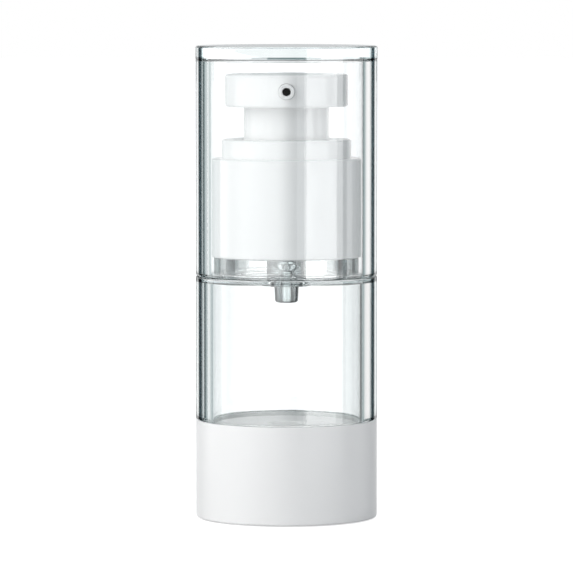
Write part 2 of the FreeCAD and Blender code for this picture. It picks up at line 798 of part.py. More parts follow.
def make_piston_rod():
    shank_radius = mm.stem_bore - mm.fit_gap
    shank_top = stem_bottom + mm.rod_shank_length
    head_edge = rod_bottom + mm.rod_head_height * HALF_SHARE
    body = turned_body("piston_rod", [
        (ZERO, rod_bottom),
        (stem_radius, rod_bottom),
        (rod_head_radius, head_edge),
        (rod_head_radius, rod_head_top),
        (shank_radius, rod_head_top),
        (shank_radius, shank_top),
        (ZERO, shank_top),
    ])
    plan = sketch_on(body, "flute_plan", "XY_Plane", rod_head_top)
    draw_strip(plan, shank_radius * ROD_CORE_SHARE, shank_radius + mm.overrun, mm.rod_flute_width)
    flute = pocket(body, "flute", plan, shank_top - rod_head_top + mm.overrun)
    repeat_round(body, "flutes", flute, plan, ROD_FLUTES, grows=False)
    return body


def make_pump_piston():
    waist_radius = piston_lip_radius - mm.pump_piston_relief
    skirt_end = piston_bottom - mm.pump_piston_lip_drop
    web_bottom = piston_bottom + (mm.pump_piston_height - mm.pump_piston_web) * HALF_SHARE
    web_top = web_bottom + mm.pump_piston_web
    lower_lip = skirt_end + mm.pump_piston_lip_height
    upper_lip = piston_top - mm.pump_piston_lip_height
    return turned_body("pump_piston", [
        (hub_bore, piston_bottom),
        (hub_radius, piston_bottom),
        (hub_radius, web_bottom),
        (piston_skirt_bore, web_bottom),
        (piston_skirt_bore, skirt_end),
        (piston_lip_radius, skirt_end),
        (piston_lip_radius, lower_lip),
        (waist_radius, lower_lip + mm.pump_piston_relief),
        (waist_radius, upper_lip - mm.pump_piston_relief),
        (piston_lip_radius, upper_lip),
        (piston_lip_radius, piston_top),
        (piston_skirt_bore, piston_top),
        (piston_skirt_bore, web_top),
        (hub_radius, web_top),
        (hub_radius, piston_top),
        (hub_bore, piston_top),
    ])


# Return spring: one round wire on a helix whose end turns lie closer than its middle turns

def spring_heights():
    """The wire centre's height at each biarc's ends, and its rise per radian there."""
    half_wire = mm.spring_wire * HALF_SHARE
    bottom = (flange_top + mm.fit_gap + half_wire).value
    top = (stem_flange_bottom - mm.fit_gap - half_wire).value
    end_pitch = (mm.spring_wire + mm.spring_end_gap).value
    end_turns = SPRING_END_TURNS * 2
    middle_pitch = (top - bottom - end_pitch * end_turns) / (SPRING_TURNS - end_turns)
    steps = SPRING_TURNS * BIARCS_PER_TURN
    end_steps = SPRING_END_TURNS * BIARCS_PER_TURN
    pitches = [middle_pitch] * steps
    pitches[:end_steps] = [end_pitch] * end_steps
    pitches[-end_steps:] = [end_pitch] * end_steps
    heights = [bottom]
    for pitch in pitches:
        heights.append(heights[-1] + pitch / BIARCS_PER_TURN)
    before = pitches[:1] + pitches
    after = pitches + pitches[-1:]
    rises = [(a + b) * HALF_SHARE / (2 * math.pi) for a, b in zip(before, after)]
    return heights, rises


def arc_between(start, corner, end):
    """The arc from start to end whose end tangents meet at corner."""
    middle = (start + end) * HALF_SHARE
    half_chord = (end - start).Length * HALF_SHARE
    turn = math.atan2((corner - middle).Length, half_chord)
    bulge = (corner - middle).normalize() * (half_chord * math.tan(turn * HALF_SHARE))
    return Part.Arc(start, middle + bulge, end).toShape()


def biarc(start, start_way, end, end_way):
    """Two arcs that leave start along start_way, meet smoothly and reach end along end_way."""
    span = end - start
    along = span.dot(start_way + end_way)
    bend = 2 * (1 - start_way.dot(end_way))
    reach = (math.sqrt(along ** 2 + bend * span.dot(span)) - along) / bend
    first = start + start_way * reach
    second = end - end_way * reach
    joint = (first + second) * HALF_SHARE
    return [arc_between(start, first, joint), arc_between(joint, second, end)]


def least_gap(path, wire):
    """The least distance from the wire's surface to its next turn, on points along its centre."""
    points = path.discretize(Number=SPRING_TURNS * GAP_POINTS_PER_TURN + 1)
    nearest = GAP_POINTS_PER_TURN // 2
    furthest = GAP_POINTS_PER_TURN + nearest
    pairs = [(a, b) for i, a in enumerate(points) for b in points[i + nearest:i + furthest]]
    return min((a - b).Length for a, b in pairs) - wire


def make_return_spring():
    radius = spring_radius.value
    wire = mm.spring_wire.value
    points = []
    ways = []
    for step, (height, rise) in enumerate(zip(*spring_heights())):
        angle = step * 2 * math.pi / BIARCS_PER_TURN
        points.append(FreeCAD.Vector(radius * math.cos(angle), radius * math.sin(angle), height))
        way = FreeCAD.Vector(-radius * math.sin(angle), radius * math.cos(angle), rise)
        ways.append(way.normalize())
    edges = []
    for i in range(SPRING_TURNS * BIARCS_PER_TURN):
        edges.extend(biarc(points[i], ways[i], points[i + 1], ways[i + 1]))
    path = Part.Wire(edges)
    section = Part.Wire([Part.makeCircle(wire * HALF_SHARE, points[0], ways[0])])
    spring = doc.addObject("Part::Feature", "return_spring")
    spring.Label = "return_spring"
    spring.Shape = path.makePipeShell([section], True, False)
    spring.Placement = FreeCAD.Placement()
    expected = math.pi * (wire * HALF_SHARE) ** 2 * path.Length
    print(f"return_spring: volume {spring.Shape.Volume:.3f}, section times length {expected:.3f}")
    print(f"return_spring: least gap to itself {least_gap(path, wire):.3f} mm")
    return spring


# Actuator button: rim and skirt under one top, boss on the stem, bar that carries the nozzle

def make_actuator_button():
    socket_radius = stem_radius + mm.fit_gap
    socket_top = stem_top + mm.fit_gap
    boss_radius = socket_radius + mm.boss_wall
    boss_bottom = stem_flange_top + mm.fit_gap
    body = turned_body("actuator_button", [
        (ZERO, boss_bottom),
        (boss_radius, boss_bottom),
        (boss_radius, button_under),
        (skirt_bore, button_under),
        (skirt_bore, skirt_bottom),
        (skirt_radius, skirt_bottom),
        (skirt_radius, button_under),
        (rim_bore, button_under),
        (rim_bore, button_bottom),
        (button_radius, button_bottom),
        (button_radius, button_top),
        (ZERO, button_top),
    ])
    rims = [(button_radius, button_top), (button_radius, button_bottom)]
    round_edges(body, "button_rounds", rims, mm.button_round)
    cut_finger_dish(body)

    ribs = sketch_on(body, "rim_rib_plan", "XY_Plane", button_under - mm.rim_rib_height)
    draw_strip(ribs, skirt_radius - mm.fit_gap, rim_bore + mm.fit_gap, mm.rim_rib_width)
    rib = pad(body, "rim_rib", ribs, mm.rim_rib_height + mm.fit_gap)
    repeat_round(body, "rim_ribs", rib, ribs, RIM_RIBS, grows=True)

    bar = draw_circle(sketch_on(body, "nozzle_bar_plan", "XZ_Plane"), ZERO, nozzle_height, bar_radius)
    pad(body, "nozzle_bar", bar, rim_bore + mm.fit_gap)

    socket = sketch_on(body, "stem_socket_outline", "XZ_Plane")
    draw_outline(socket, [
        (ZERO, boss_bottom - mm.overrun),
        (socket_radius, boss_bottom - mm.overrun),
        (socket_radius, socket_top),
        (mm.channel_radius, socket_top),
        (mm.channel_radius, nozzle_height),
        (ZERO, nozzle_height),
    ])
    turned_cut(body, "stem_socket", socket)

    channel = sketch_on(body, "channel_plan", "XZ_Plane")
    draw_circle(channel, ZERO, nozzle_height, mm.channel_radius)
    pocket(body, "channel", channel, button_radius + mm.overrun)

    seat = sketch_on(body, "nozzle_seat_plan", "XZ_Plane", insert_back - mm.fit_gap)
    draw_circle(seat, ZERO, nozzle_height, insert_seat_radius)
    pocket(body, "nozzle_seat", seat, mm.insert_length + mm.overrun)
    return body


def cut_finger_dish(body):
    """A shallow spherical dish in the top, whose arc is centred on the axis."""
    dish_radius = button_radius - mm.dish_margin
    dish_bottom = button_top - mm.dish_depth
    rim = FreeCAD.Vector(dish_radius.value, button_top.value, 0)
    middle = FreeCAD.Vector(0, button_top.value, 0)
    low = FreeCAD.Vector(0, dish_bottom.value, 0)
    depth = mm.dish_depth.value
    ball_radius = (dish_radius.value ** 2 + depth ** 2) / (2 * depth)
    centre = FreeCAD.Vector(0, dish_bottom.value + ball_radius, 0)
    circle = Part.Circle(centre, FreeCAD.Vector(0, 0, 1), ball_radius)
    low_angle = -math.pi / 2
    rim_angle = math.atan2(rim.y - centre.y, rim.x)
    lines = [
        Part.ArcOfCircle(circle, low_angle, rim_angle),
        Part.LineSegment(rim, middle),
        Part.LineSegment(middle, low),
    ]
    sketch = sketch_on(body, "finger_dish_outline", "XZ_Plane")
    sketch.addGeometry(lines)
    join_ends(sketch, len(lines))
    sketch.addConstraint(Sketcher.Constraint("PointOnObject", 0, 3, -2))
    tie_point(sketch, 0, 1, ZERO, dish_bottom)
    tie_point(sketch, 1, 1, dish_radius, button_top)
    tie_point(sketch, 2, 1, ZERO, button_top)
    return turned_cut(body, "finger_dish", sketch)


# Nozzle insert: a small tube pressed into the bar, standing proud of the rim

def make_nozzle_insert():
    """Turned about the nozzle's axis, which runs along Y; the outline is in (Y, radius)."""
    body = new_body("nozzle_insert")
    sketch = sketch_on(body, "nozzle_insert_outline", "YZ_Plane", nozzle_height, "y")
    orifice_end = insert_front - mm.orifice_length
    draw_outline(sketch, [
        (-insert_back, mm.channel_radius),
        (-insert_back, insert_radius),
        (mm.insert_round - insert_front, insert_radius),
        (-insert_front, insert_radius - mm.insert_round),
        (-insert_front, mm.orifice_radius),
        (-orifice_end, mm.orifice_radius),
        (-orifice_end, mm.channel_radius),
    ])
    spin(body, "Revolution", "nozzle_insert_turned", sketch, "H_Axis", 0, grows=True)
    return body


# Overcap: thick clear cup that slips over the collar and rests on the bottle's shoulder

def make_overcap():
    body = turned_body("overcap", [
        (ZERO, cap_under),
        (cap_bore, cap_under),
        (cap_bore, cap_bottom + mm.cap_lead_in),
        (cap_bore + mm.cap_lead_in, cap_bottom),
        (body_radius, cap_bottom),
        (body_radius, cap_top),
        (ZERO, cap_top),
    ])
    rims = [(body_radius, cap_top), (body_radius, cap_bottom)]
    round_edges(body, "cap_rounds", rims, mm.cap_round)
    round_edges(body, "cap_inner_round", [(cap_bore, cap_under)], mm.cap_inner_round)
    return body


pieces = [
    make_base_cup(),
    make_bottle(),
    make_follower_piston(),
    make_pump_cylinder(),
    make_inlet_ball(),
    make_ball_cage(),
    make_neck_gasket(),
    make_snap_closure(),
    make_collar(),
    make_cylinder_cap(),
    make_stem(),
    make_piston_rod(),
    make_pump_piston(),
    make_return_spring(),
    make_actuator_button(),
    make_nozzle_insert(),
    make_overcap(),
]
doc.recompute()

for item in doc.Objects:
    if "Invalid" in item.State or "Error" in item.State:
        raise RuntimeError(f"{item.Name} failed: {item.State}")
for piece in pieces:
    if piece.Shape.isNull() or not piece.Shape.isValid():
        raise RuntimeError(f"{piece.Label} has no valid shape")

os.makedirs(PARTS_FOLDER, exist_ok=True)
for piece in pieces:
    piece.Shape.exportStep(os.path.join(PARTS_FOLDER, f"{piece.Label}.step"))
    box = piece.Shape.optimalBoundingBox()
    size = f"{box.XLength:.2f} x {box.YLength:.2f}"
    print(f"{piece.Label}: {piece.Shape.Volume:.2f} mm3, {size}, z {box.ZMin:.2f} to {box.ZMax:.2f}")
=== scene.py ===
# %% [markdown]
# # A clear airless pump bottle, step by step
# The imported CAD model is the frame: it says where every piece is and what moves with what.
# This lesson dresses it. Each piece is a surface worked out with numpy in the same frame, in
# metres, +Z up, with the nozzle facing -Y, so nothing has to be fitted by eye.

# %% Load the frame
import math

import bmesh
import bpy
import numpy as np
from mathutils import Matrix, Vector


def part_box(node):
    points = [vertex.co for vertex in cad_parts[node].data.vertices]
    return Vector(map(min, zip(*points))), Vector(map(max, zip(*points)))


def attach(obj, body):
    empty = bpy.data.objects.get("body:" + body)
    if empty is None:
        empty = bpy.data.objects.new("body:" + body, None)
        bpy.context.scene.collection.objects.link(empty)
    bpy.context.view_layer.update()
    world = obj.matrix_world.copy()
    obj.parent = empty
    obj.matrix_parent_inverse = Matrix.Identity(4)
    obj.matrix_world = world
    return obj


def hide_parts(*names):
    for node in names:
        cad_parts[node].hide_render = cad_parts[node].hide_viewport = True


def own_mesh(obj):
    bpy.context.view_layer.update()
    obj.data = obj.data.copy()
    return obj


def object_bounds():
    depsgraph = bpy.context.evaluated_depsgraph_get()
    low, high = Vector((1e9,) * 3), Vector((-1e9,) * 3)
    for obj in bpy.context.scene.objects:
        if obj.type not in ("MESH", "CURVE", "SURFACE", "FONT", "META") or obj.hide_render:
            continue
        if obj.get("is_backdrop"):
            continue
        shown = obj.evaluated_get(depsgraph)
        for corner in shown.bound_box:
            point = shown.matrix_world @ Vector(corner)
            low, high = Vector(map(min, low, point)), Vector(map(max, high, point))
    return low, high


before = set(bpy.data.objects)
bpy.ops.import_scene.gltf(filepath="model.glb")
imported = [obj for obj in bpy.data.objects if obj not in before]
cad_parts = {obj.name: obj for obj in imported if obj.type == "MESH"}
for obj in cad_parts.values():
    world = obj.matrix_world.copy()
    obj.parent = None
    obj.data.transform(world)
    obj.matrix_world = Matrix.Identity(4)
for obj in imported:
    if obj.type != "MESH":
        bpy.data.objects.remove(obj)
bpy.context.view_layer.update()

MM = 0.001

# %% [markdown]
# ## Camera
# A long lens from a little above the cap's top. A short lens close by would splay the walls. The
# long lens keeps them parallel, and the small tilt shows the ellipses of the rims as thin arcs.

# %% Camera
CAMERA_DISTANCE = 0.840
CAMERA_HEIGHT = 0.101
CAMERA_LENS, SENSOR_WIDTH = 290.4, 36
CAMERA_REACH = 100
CAMERA_TILT = math.radians(4.02)

camera_data = bpy.data.cameras.new("camera")
camera_data.lens = CAMERA_LENS
camera_data.sensor_width = SENSOR_WIDTH
camera_data.clip_end = CAMERA_REACH
camera = bpy.data.objects.new("camera", camera_data)
camera.location = (0, -CAMERA_DISTANCE, CAMERA_HEIGHT)
camera.rotation_euler = (math.pi / 2 - CAMERA_TILT, 0, 0)
bpy.context.scene.collection.objects.link(camera)
bpy.context.scene.camera = camera
print("camera stands", CAMERA_DISTANCE, "m in front")

# %% [markdown]
# ## Turned surfaces
# Nearly every piece of this bottle is round, so one helper does most of the work. A profile is
# a list of corners (radius, height, round), in millimetres. Each corner is first softened, and
# then the profile is carried round the axis. Blender's Screw modifier could turn a profile too, but
# a grid worked out here can store exact normals, and clear plastic shows every small error of a
# normal as a streak.

# %% Profiles
CORNER_STEPS = 6


def soften(corners, closed):
    """Softens the corners of a profile and gives its points and directions.

    A corner C with round d becomes the curve A(1-t)^2 + 2C t(1-t) + B t^2, where A and B lie at
    the distance d from C along its two sides. Its direction is the curve's derivative. A corner
    with round 0, such as an end on the axis, stays one point.
    """
    table = np.asarray(corners, float)
    points, reach = table[:, :2], table[:, 2:]
    ahead = np.roll(points, -1, axis=0) - points
    ahead /= np.linalg.norm(ahead, axis=1, keepdims=True)
    behind = np.roll(ahead, 1, axis=0)
    if not closed:
        behind[0], ahead[-1] = ahead[0], behind[-1]
    t = np.linspace(0, 1, CORNER_STEPS)[None, :, None]
    start, end = points - behind * reach, points + ahead * reach
    curve = start[:, None] * (1 - t) ** 2 + points[:, None] * 2 * t * (1 - t) + end[:, None] * t ** 2
    way = behind[:, None] * (1 - t) + ahead[:, None] * t
    keep = (reach > 0) | (np.arange(CORNER_STEPS) == 0)
    curve, way = curve[keep], way[keep]
    return curve, way / np.linalg.norm(way, axis=1, keepdims=True)


def counterclockwise(corners):
    """Reverses a profile whose area, half the sum of cross products, is negative."""
    table = np.asarray(corners, float)
    r, z = table[:, 0], table[:, 1]
    area = np.sum(r * np.roll(z, -1) - np.roll(r, -1) * z)
    return table if area > 0 else table[::-1]


print("a softened corner has", CORNER_STEPS, "points")

# %% [markdown]
# Some pieces have ribs, slots or notches. Booleans could cut them, but they leave long thin faces
# that shade badly. So these pieces are turned too, and in the columns of a rib the profile is
# pulled to the rib's height. Two close columns at each side of a rib make its side walls upright.

# %% Turning
COLUMNS = 256
SIDE_STEP = 0.0004


def wheel(columns=COLUMNS, cuts=()):
    """Even angles round the axis, and two close angles at each side of every rib or slot.

    A cut is (count, half_width, radius): its strips stand evenly from angle 0, and their sides
    lie at the angles asin(half_width / radius) on both sides of each strip's middle.
    """
    angles = [np.arange(columns) * 2 * np.pi / columns]
    for count, half_width, radius in cuts:
        middles = np.arange(count) * 2 * np.pi / count
        side = math.asin(half_width / radius)
        angles += [middles + way * side + step for way in (-1, 1) for step in (-SIDE_STEP, SIDE_STEP)]
    return np.unique(np.round(np.concatenate(angles) % (2 * np.pi), 6))


def in_strip(angles, count, half_width, radius):
    """True for the angles that lie within a strip of a cut."""
    gap = 2 * np.pi / count
    off = (angles + gap / 2) % gap - gap / 2
    return np.abs(off) <= math.asin(half_width / radius)


def turned_grid(corners, angles, reshape=None):
    """Points (r_i cos a_j, r_i sin a_j, z_i) and normals (dz cos a_j, dz sin a_j, -dr) of a turned profile.

    Reshape may change r and z in some columns, as ribs and slots do.
    """
    table = counterclockwise(corners)
    closed = bool(table[:, 0].min() > 0)
    curve, way = soften(table, closed)
    r, z = (np.repeat(part[:, None], len(angles), axis=1) for part in curve.T)
    if reshape is not None:
        r, z = reshape(r, z, np.broadcast_to(angles, r.shape))
    cos, sin = np.cos(angles), np.sin(angles)
    points = np.stack([r * cos, r * sin, z], axis=-1)
    dr, dz = way[:, :1], way[:, 1:]
    normals = np.stack([dz * cos, dz * sin, -dr * np.ones_like(cos)], axis=-1)
    return points, normals, closed


def grid_faces(rows, columns, close_rows):
    """Quads of a grid that closes round its columns, and round its rows where asked."""
    i = np.arange(rows if close_rows else rows - 1)[:, None]
    j = np.arange(columns)[None, :]
    below, above = i * columns, (i + 1) % rows * columns
    beside = (j + 1) % columns
    return np.stack([below + j, below + beside, above + beside, above + j], axis=-1).reshape(-1, 4)


def flat_list(grid, closed):
    """A grid as a list. On an open profile the two rows on the axis become one pole each, at the end."""
    if closed:
        return grid.reshape(-1, 3)
    return np.vstack([grid[1:-1].reshape(-1, 3), grid[0, :1], grid[-1, :1]])


def turned_faces(rows, columns, closed):
    """Faces that go with flat_list: quads, and a fan of triangles to each pole."""
    if closed:
        return [grid_faces(rows, columns, True)]
    count = (rows - 2) * columns
    j = np.arange(columns)
    beside, last = (j + 1) % columns, count - columns
    first_fan = np.stack([np.full(columns, count), beside, j], axis=-1)
    last_fan = np.stack([np.full(columns, count + 1), last + j, last + beside], axis=-1)
    return [grid_faces(rows - 2, columns, False), first_fan, last_fan]


print("an even wheel has", len(wheel()), "columns")

# %% [markdown]
# A mesh with exact normals keeps them. A mesh with ribs gets its shading worked out instead:
# doubled points are merged, edges sharper than a limit stay sharp, and large faces rule the
# shading of small ones beside them. One more helper then lets a finished mesh stand for its CAD
# node, so that it moves with the right body.

# %% Meshes
SHARP_ANGLE = math.radians(35)
DOUBLE_DISTANCE, SLIVER_DISTANCE = 2e-7, 1e-7


def fill_mesh(name, points, faces, normals=None):
    """Makes an object from points in millimetres and a list of face arrays."""
    mesh = bpy.data.meshes.new(name)
    mesh.from_pydata((points * MM).tolist(), [], [f for part in faces for f in part.tolist()])
    if normals is None:
        work = bmesh.new()
        work.from_mesh(mesh)
        bmesh.ops.remove_doubles(work, verts=work.verts, dist=DOUBLE_DISTANCE)
        bmesh.ops.dissolve_degenerate(work, edges=work.edges, dist=SLIVER_DISTANCE)
        work.to_mesh(mesh)
        work.free()
    mesh.polygons.foreach_set("use_smooth", np.ones(len(mesh.polygons), bool))
    piece = bpy.data.objects.new(name, mesh)
    bpy.context.scene.collection.objects.link(piece)
    if normals is None:
        mesh.set_sharp_from_angle(angle=SHARP_ANGLE)
        shading = piece.modifiers.new("even shading", "WEIGHTED_NORMAL")
        shading.keep_sharp = True
    else:
        mesh.normals_split_custom_set_from_vertices(normals.tolist())
    mesh.update()
    return piece


def turn(name, corners, angles=None, reshape=None):
    """A turned piece, with ribs or slots where reshape makes them."""
    angles = wheel() if angles is None else angles
    points, normals, closed = turned_grid(corners, angles, reshape)
    faces = turned_faces(len(points), len(angles), closed)
    exact = None if reshape else flat_list(normals, closed)
    return fill_mesh(name, flat_list(points, closed), faces, exact)


def dress(piece, node, body, material):
    """Lets a piece stand for a CAD node, ride on its body and carry a material, and reports its fit."""
    piece.data.materials.append(material)
    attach(piece, body)
    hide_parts(node)
    points = np.empty(len(piece.data.vertices) * 3)
    piece.data.vertices.foreach_get("co", points)
    points = points.reshape(-1, 3)
    low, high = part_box(node)
    off = max(np.abs(points.min(0) - low).max(), np.abs(points.max(0) - high).max())
    print(f"{piece.name}: {len(piece.data.polygons)} faces, within {off / MM:.3f} mm of its solid's box")


print("edges sharper than", round(math.degrees(SHARP_ANGLE)), "degrees stay sharp")

# %% [markdown]
# ## Studio
# The bottle stands on a white floor before a white backdrop, as on a product page. Blender's
# shaders are networks of nodes. They could be wired by hand in the shader editor, but a few small
# helpers keep every network below short enough to read.

# %% Node helpers
WHITE = (1, 1, 1, 1)


def node(tree, kind, inputs=None, **settings):
    """Adds a shader node, sets its properties, and links or sets its inputs by name or number."""
    made = tree.nodes.new(kind)
    for key, value in settings.items():
        setattr(made, key, value)
    for key, value in (inputs or {}).items():
        if isinstance(value, bpy.types.NodeSocket):
            tree.links.new(value, made.inputs[key])
        else:
            made.inputs[key].default_value = value
    return made


def calculate(tree, operation, *values):
    """The result of an operation such as MULTIPLY or MAXIMUM on numbers or outputs of nodes."""
    return node(tree, "ShaderNodeMath", dict(enumerate(values)), operation=operation).outputs[0]


def between(tree, value, ends):
    """A value that rises from 0 at the first end to 1 at the second."""
    return node(tree, "ShaderNodeMapRange", {0: value, 1: ends[0], 2: ends[1]}).outputs[0]


def two_tones(tree, factor, first, second, way="MIX"):
    """A colour: the first tone at factor 0, and at 1 the second tone or, where asked, their product."""
    return node(tree, "ShaderNodeMix", {0: factor, 6: first, 7: second}, data_type="RGBA",
                blend_type=way).outputs[2]


def ramp_colour(tree, value, stops):
    """A colour read from a ramp by a value. Each stop is a place from 0 to 1 and a colour."""
    ramp = node(tree, "ShaderNodeValToRGB", {0: value})
    elements = ramp.color_ramp.elements
    for spot, _ in stops[1:-1]:
        elements.new(spot)
    for element, (spot, colour) in zip(elements, stops):
        element.position = spot
        element.color = (*colour, 1)
    return ramp.outputs[0]


def mix_shaders(tree, factor, first, second):
    """A shader that is the first one at factor 0 and the second at factor 1."""
    return node(tree, "ShaderNodeMixShader", {0: factor, 1: first.outputs[0], 2: second.outputs[0]})


def blank_material(name):
    """A material with no nodes yet."""
    material = bpy.data.materials.new(name)
    material.use_nodes = True
    material.node_tree.nodes.clear()
    return material, material.node_tree


print("node helpers are ready")

# %% [markdown]
# The floor could be lit until it turns white, but the white plastic would burn out with it. So it is
# a matt sheet with a glow of its own, which only the camera sees, straight or through clear plastic.
# It keeps the bottle's shadow. Mirrored rays pass it by, because a bright floor in the reflections
# would wash out the dark edges of the clear walls.

# %% Floor
FLOOR_HALF = 4.0
FLOOR_DROP = 0.0002
FLOOR_GREY = (0.8, 0.8, 0.8, 1)
FLOOR_GLOW = 0.68


def seen_rays(tree):
    """A value of 1 for rays from the camera and through clear plastic, and 0 for all others."""
    path = node(tree, "ShaderNodeLightPath")
    return calculate(tree, "MAXIMUM", path.outputs["Is Camera Ray"], path.outputs["Is Transmission Ray"])


def stage_plane(name, corners, material):
    """A flat four-sided stage piece through the given corners, in metres."""
    mesh = bpy.data.meshes.new(name)
    mesh.from_pydata(corners, [], [(0, 1, 2, 3)])
    mesh.materials.append(material)
    plane = bpy.data.objects.new(name, mesh)
    bpy.context.scene.collection.objects.link(plane)
    plane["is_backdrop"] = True
    return plane


floor_paint, tree = blank_material("floor paint")
matt = node(tree, "ShaderNodeBsdfDiffuse", {"Color": FLOOR_GREY})
lift = calculate(tree, "MULTIPLY", seen_rays(tree), FLOOR_GLOW)
glow = node(tree, "ShaderNodeEmission", {"Color": WHITE, "Strength": lift})
both = node(tree, "ShaderNodeAddShader", {0: matt.outputs[0], 1: glow.outputs[0]})
node(tree, "ShaderNodeOutputMaterial", {"Surface": both.outputs[0]})
square = ((-1, -1), (1, -1), (1, 1), (-1, 1))
corners = [(x * FLOOR_HALF, y * FLOOR_HALF, -FLOOR_DROP) for x, y in square]
floor = stage_plane("floor", corners, floor_paint)
floor.visible_glossy = False
print("floor:", 2 * FLOOR_HALF, "m square")

# %% [markdown]
# The world is three skies in one. The camera sees white, straight or through clear plastic. Matt
# surfaces are lit by a soft grey dome. Mirrored rays see a room instead: grey in front, dark at the
# sides and straight behind, white in between, and grey above. One plain white sky would be simpler,
# but clear plastic would vanish in it. A photographer draws the edges of glass on a white ground in
# the same way, with dark boards beside it.

# %% Backdrop and room
BACKDROP_RISE, OVERHEAD = (0.30, 0.62), (0.10, 0.12, 0.13, 1)
FILL_RISE, FILL_LOW, FILL_HIGH = (0.0, 1.0), (0.43, 0.445, 0.46, 1), (0.80, 0.82, 0.84, 1)
ROOM_FRONT, ROOM_DARK, ROOM_WHITE = (0.32, 0.33, 0.34), (0.03, 0.035, 0.04), (0.9, 0.9, 0.9)
ROOM = (
    (-0.3, ROOM_FRONT), (0.5, ROOM_DARK), (0.855, ROOM_DARK), (0.885, ROOM_WHITE), (0.955, ROOM_WHITE),
    (0.975, ROOM_DARK),
)
ROOM_RISE, ROOM_ABOVE = (0.0, 0.012), (0.66, 0.68, 0.69, 1)
ROOM_TOP, ROOM_OVERHEAD = (0.12, 0.30), (0.22, 0.235, 0.24, 1)


def was_mirrored(tree):
    """A value of 1 for rays that were mirrored at least once, and 0 for all others."""
    path = node(tree, "ShaderNodeLightPath")
    return calculate(tree, "GREATER_THAN", path.outputs["Glossy Depth"], 0.5)


world = bpy.data.worlds.new("studio")
world.use_nodes = True
tree = world.node_tree
tree.nodes.clear()
direction = node(tree, "ShaderNodeTexCoord").outputs["Generated"]
apart = node(tree, "ShaderNodeSeparateXYZ", {0: direction})
up, back = apart.outputs["Z"], apart.outputs["Y"]
sky = two_tones(tree, between(tree, up, BACKDROP_RISE), WHITE, OVERHEAD)
dome = two_tones(tree, between(tree, up, FILL_RISE), FILL_LOW, FILL_HIGH)
room_stops = [((spot + 1) / 2, tone) for spot, tone in ROOM]
round_about = ramp_colour(tree, between(tree, back, (-1, 1)), room_stops)
with_ceiling = two_tones(tree, between(tree, up, ROOM_RISE), round_about, ROOM_ABOVE)
room = two_tones(tree, between(tree, up, ROOM_TOP), with_ceiling, ROOM_OVERHEAD)
white, fill, mirror = (node(tree, "ShaderNodeBackground", {"Color": tone}) for tone in (sky, dome, room))
path = node(tree, "ShaderNodeLightPath")
not_matt = calculate(tree, "MAXIMUM", path.outputs["Is Glossy Ray"], path.outputs["Is Transmission Ray"])
mirrored = calculate(tree, "MULTIPLY", was_mirrored(tree), not_matt)
mixed = mix_shaders(tree, mirrored, mix_shaders(tree, seen_rays(tree), fill, white), mirror)
node(tree, "ShaderNodeOutputWorld", {"Surface": mixed.outputs[0]})
print("the world shows a backdrop, a dome and a room")

# %% [markdown]
# A sight line crosses many clear walls here, so rays may bounce more often than Blender's defaults
# let them. The Standard view shows a colour as it is written.

# %% View and bounces
scene = bpy.context.scene
scene.world = world
scene.view_settings.view_transform = "Standard"
scene.cycles.max_bounces = 28
scene.cycles.transmission_bounces = 24
scene.cycles.glossy_bounces = 12
scene.cycles.transparent_max_bounces = 24
print("rays may bounce", scene.cycles.max_bounces, "times")

# %% [markdown]
# A tall softbox on the left lights the white plastic, and a weak one on the right softens its shaded
# side. A softbox is an area lamp. Its radiance decides how bright a matt surface facing it gets, so
# the power is worked out from the radiance: a flat lamp gives pi times radiance times area. A sun
# lamp would be simpler, but it has no size and gives hard shadows.

# %% Softboxes
SOFTBOX_DISTANCE = 0.36
SOFTBOX_HEIGHT = 0.5
SOFTBOXES = {
    "softbox_left": (-58.0, 22.0, 2.2, (1.0, 0.99, 0.975)),
    "softbox_right": (60.0, 22.0, 0.1, (0.95, 0.98, 1.0)),
}


def softbox(name, azimuth, half_angle, radiance, colour):
    """An upright area lamp facing the axis, azimuth degrees to the right of the camera."""
    turn_z, half = math.radians(azimuth), math.radians(half_angle)
    lamp = bpy.data.lights.new(name, "AREA")
    lamp.shape = "RECTANGLE"
    lamp.size = 2 * SOFTBOX_DISTANCE * math.tan(half)
    lamp.size_y = SOFTBOX_HEIGHT
    lamp.energy = math.pi * radiance * lamp.size * lamp.size_y
    lamp.color = colour
    placed = bpy.data.objects.new(name, lamp)
    placed.location = (SOFTBOX_DISTANCE * math.sin(turn_z), -SOFTBOX_DISTANCE * math.cos(turn_z),
                       SOFTBOX_HEIGHT / 2)
    placed.rotation_euler = (math.pi / 2, 0, turn_z)
    placed.visible_camera = False
    placed.visible_glossy = False
    placed.visible_transmission = False
    bpy.context.scene.collection.objects.link(placed)
    print(f"{name}: {lamp.energy:.2f} W")


for name, settings in SOFTBOXES.items():
    softbox(name, *settings)

# %% [markdown]
# The upright bands on the clear walls are reflections of tall things near the bottle: panels of light
# in front of it and darker cards behind it. Both are upright sheets, bent round the bottle's axis so
# that their edges look upright in it. Only mirrored rays see them, and they cast no shadow. Real
# lamps could make the bands too, but they would burn out the white plastic. Each sheet stands between
# two angles, counted from the camera's line to the right for a panel and from the line behind the
# bottle for a card, and has a ramp of brightness from the first to the last.

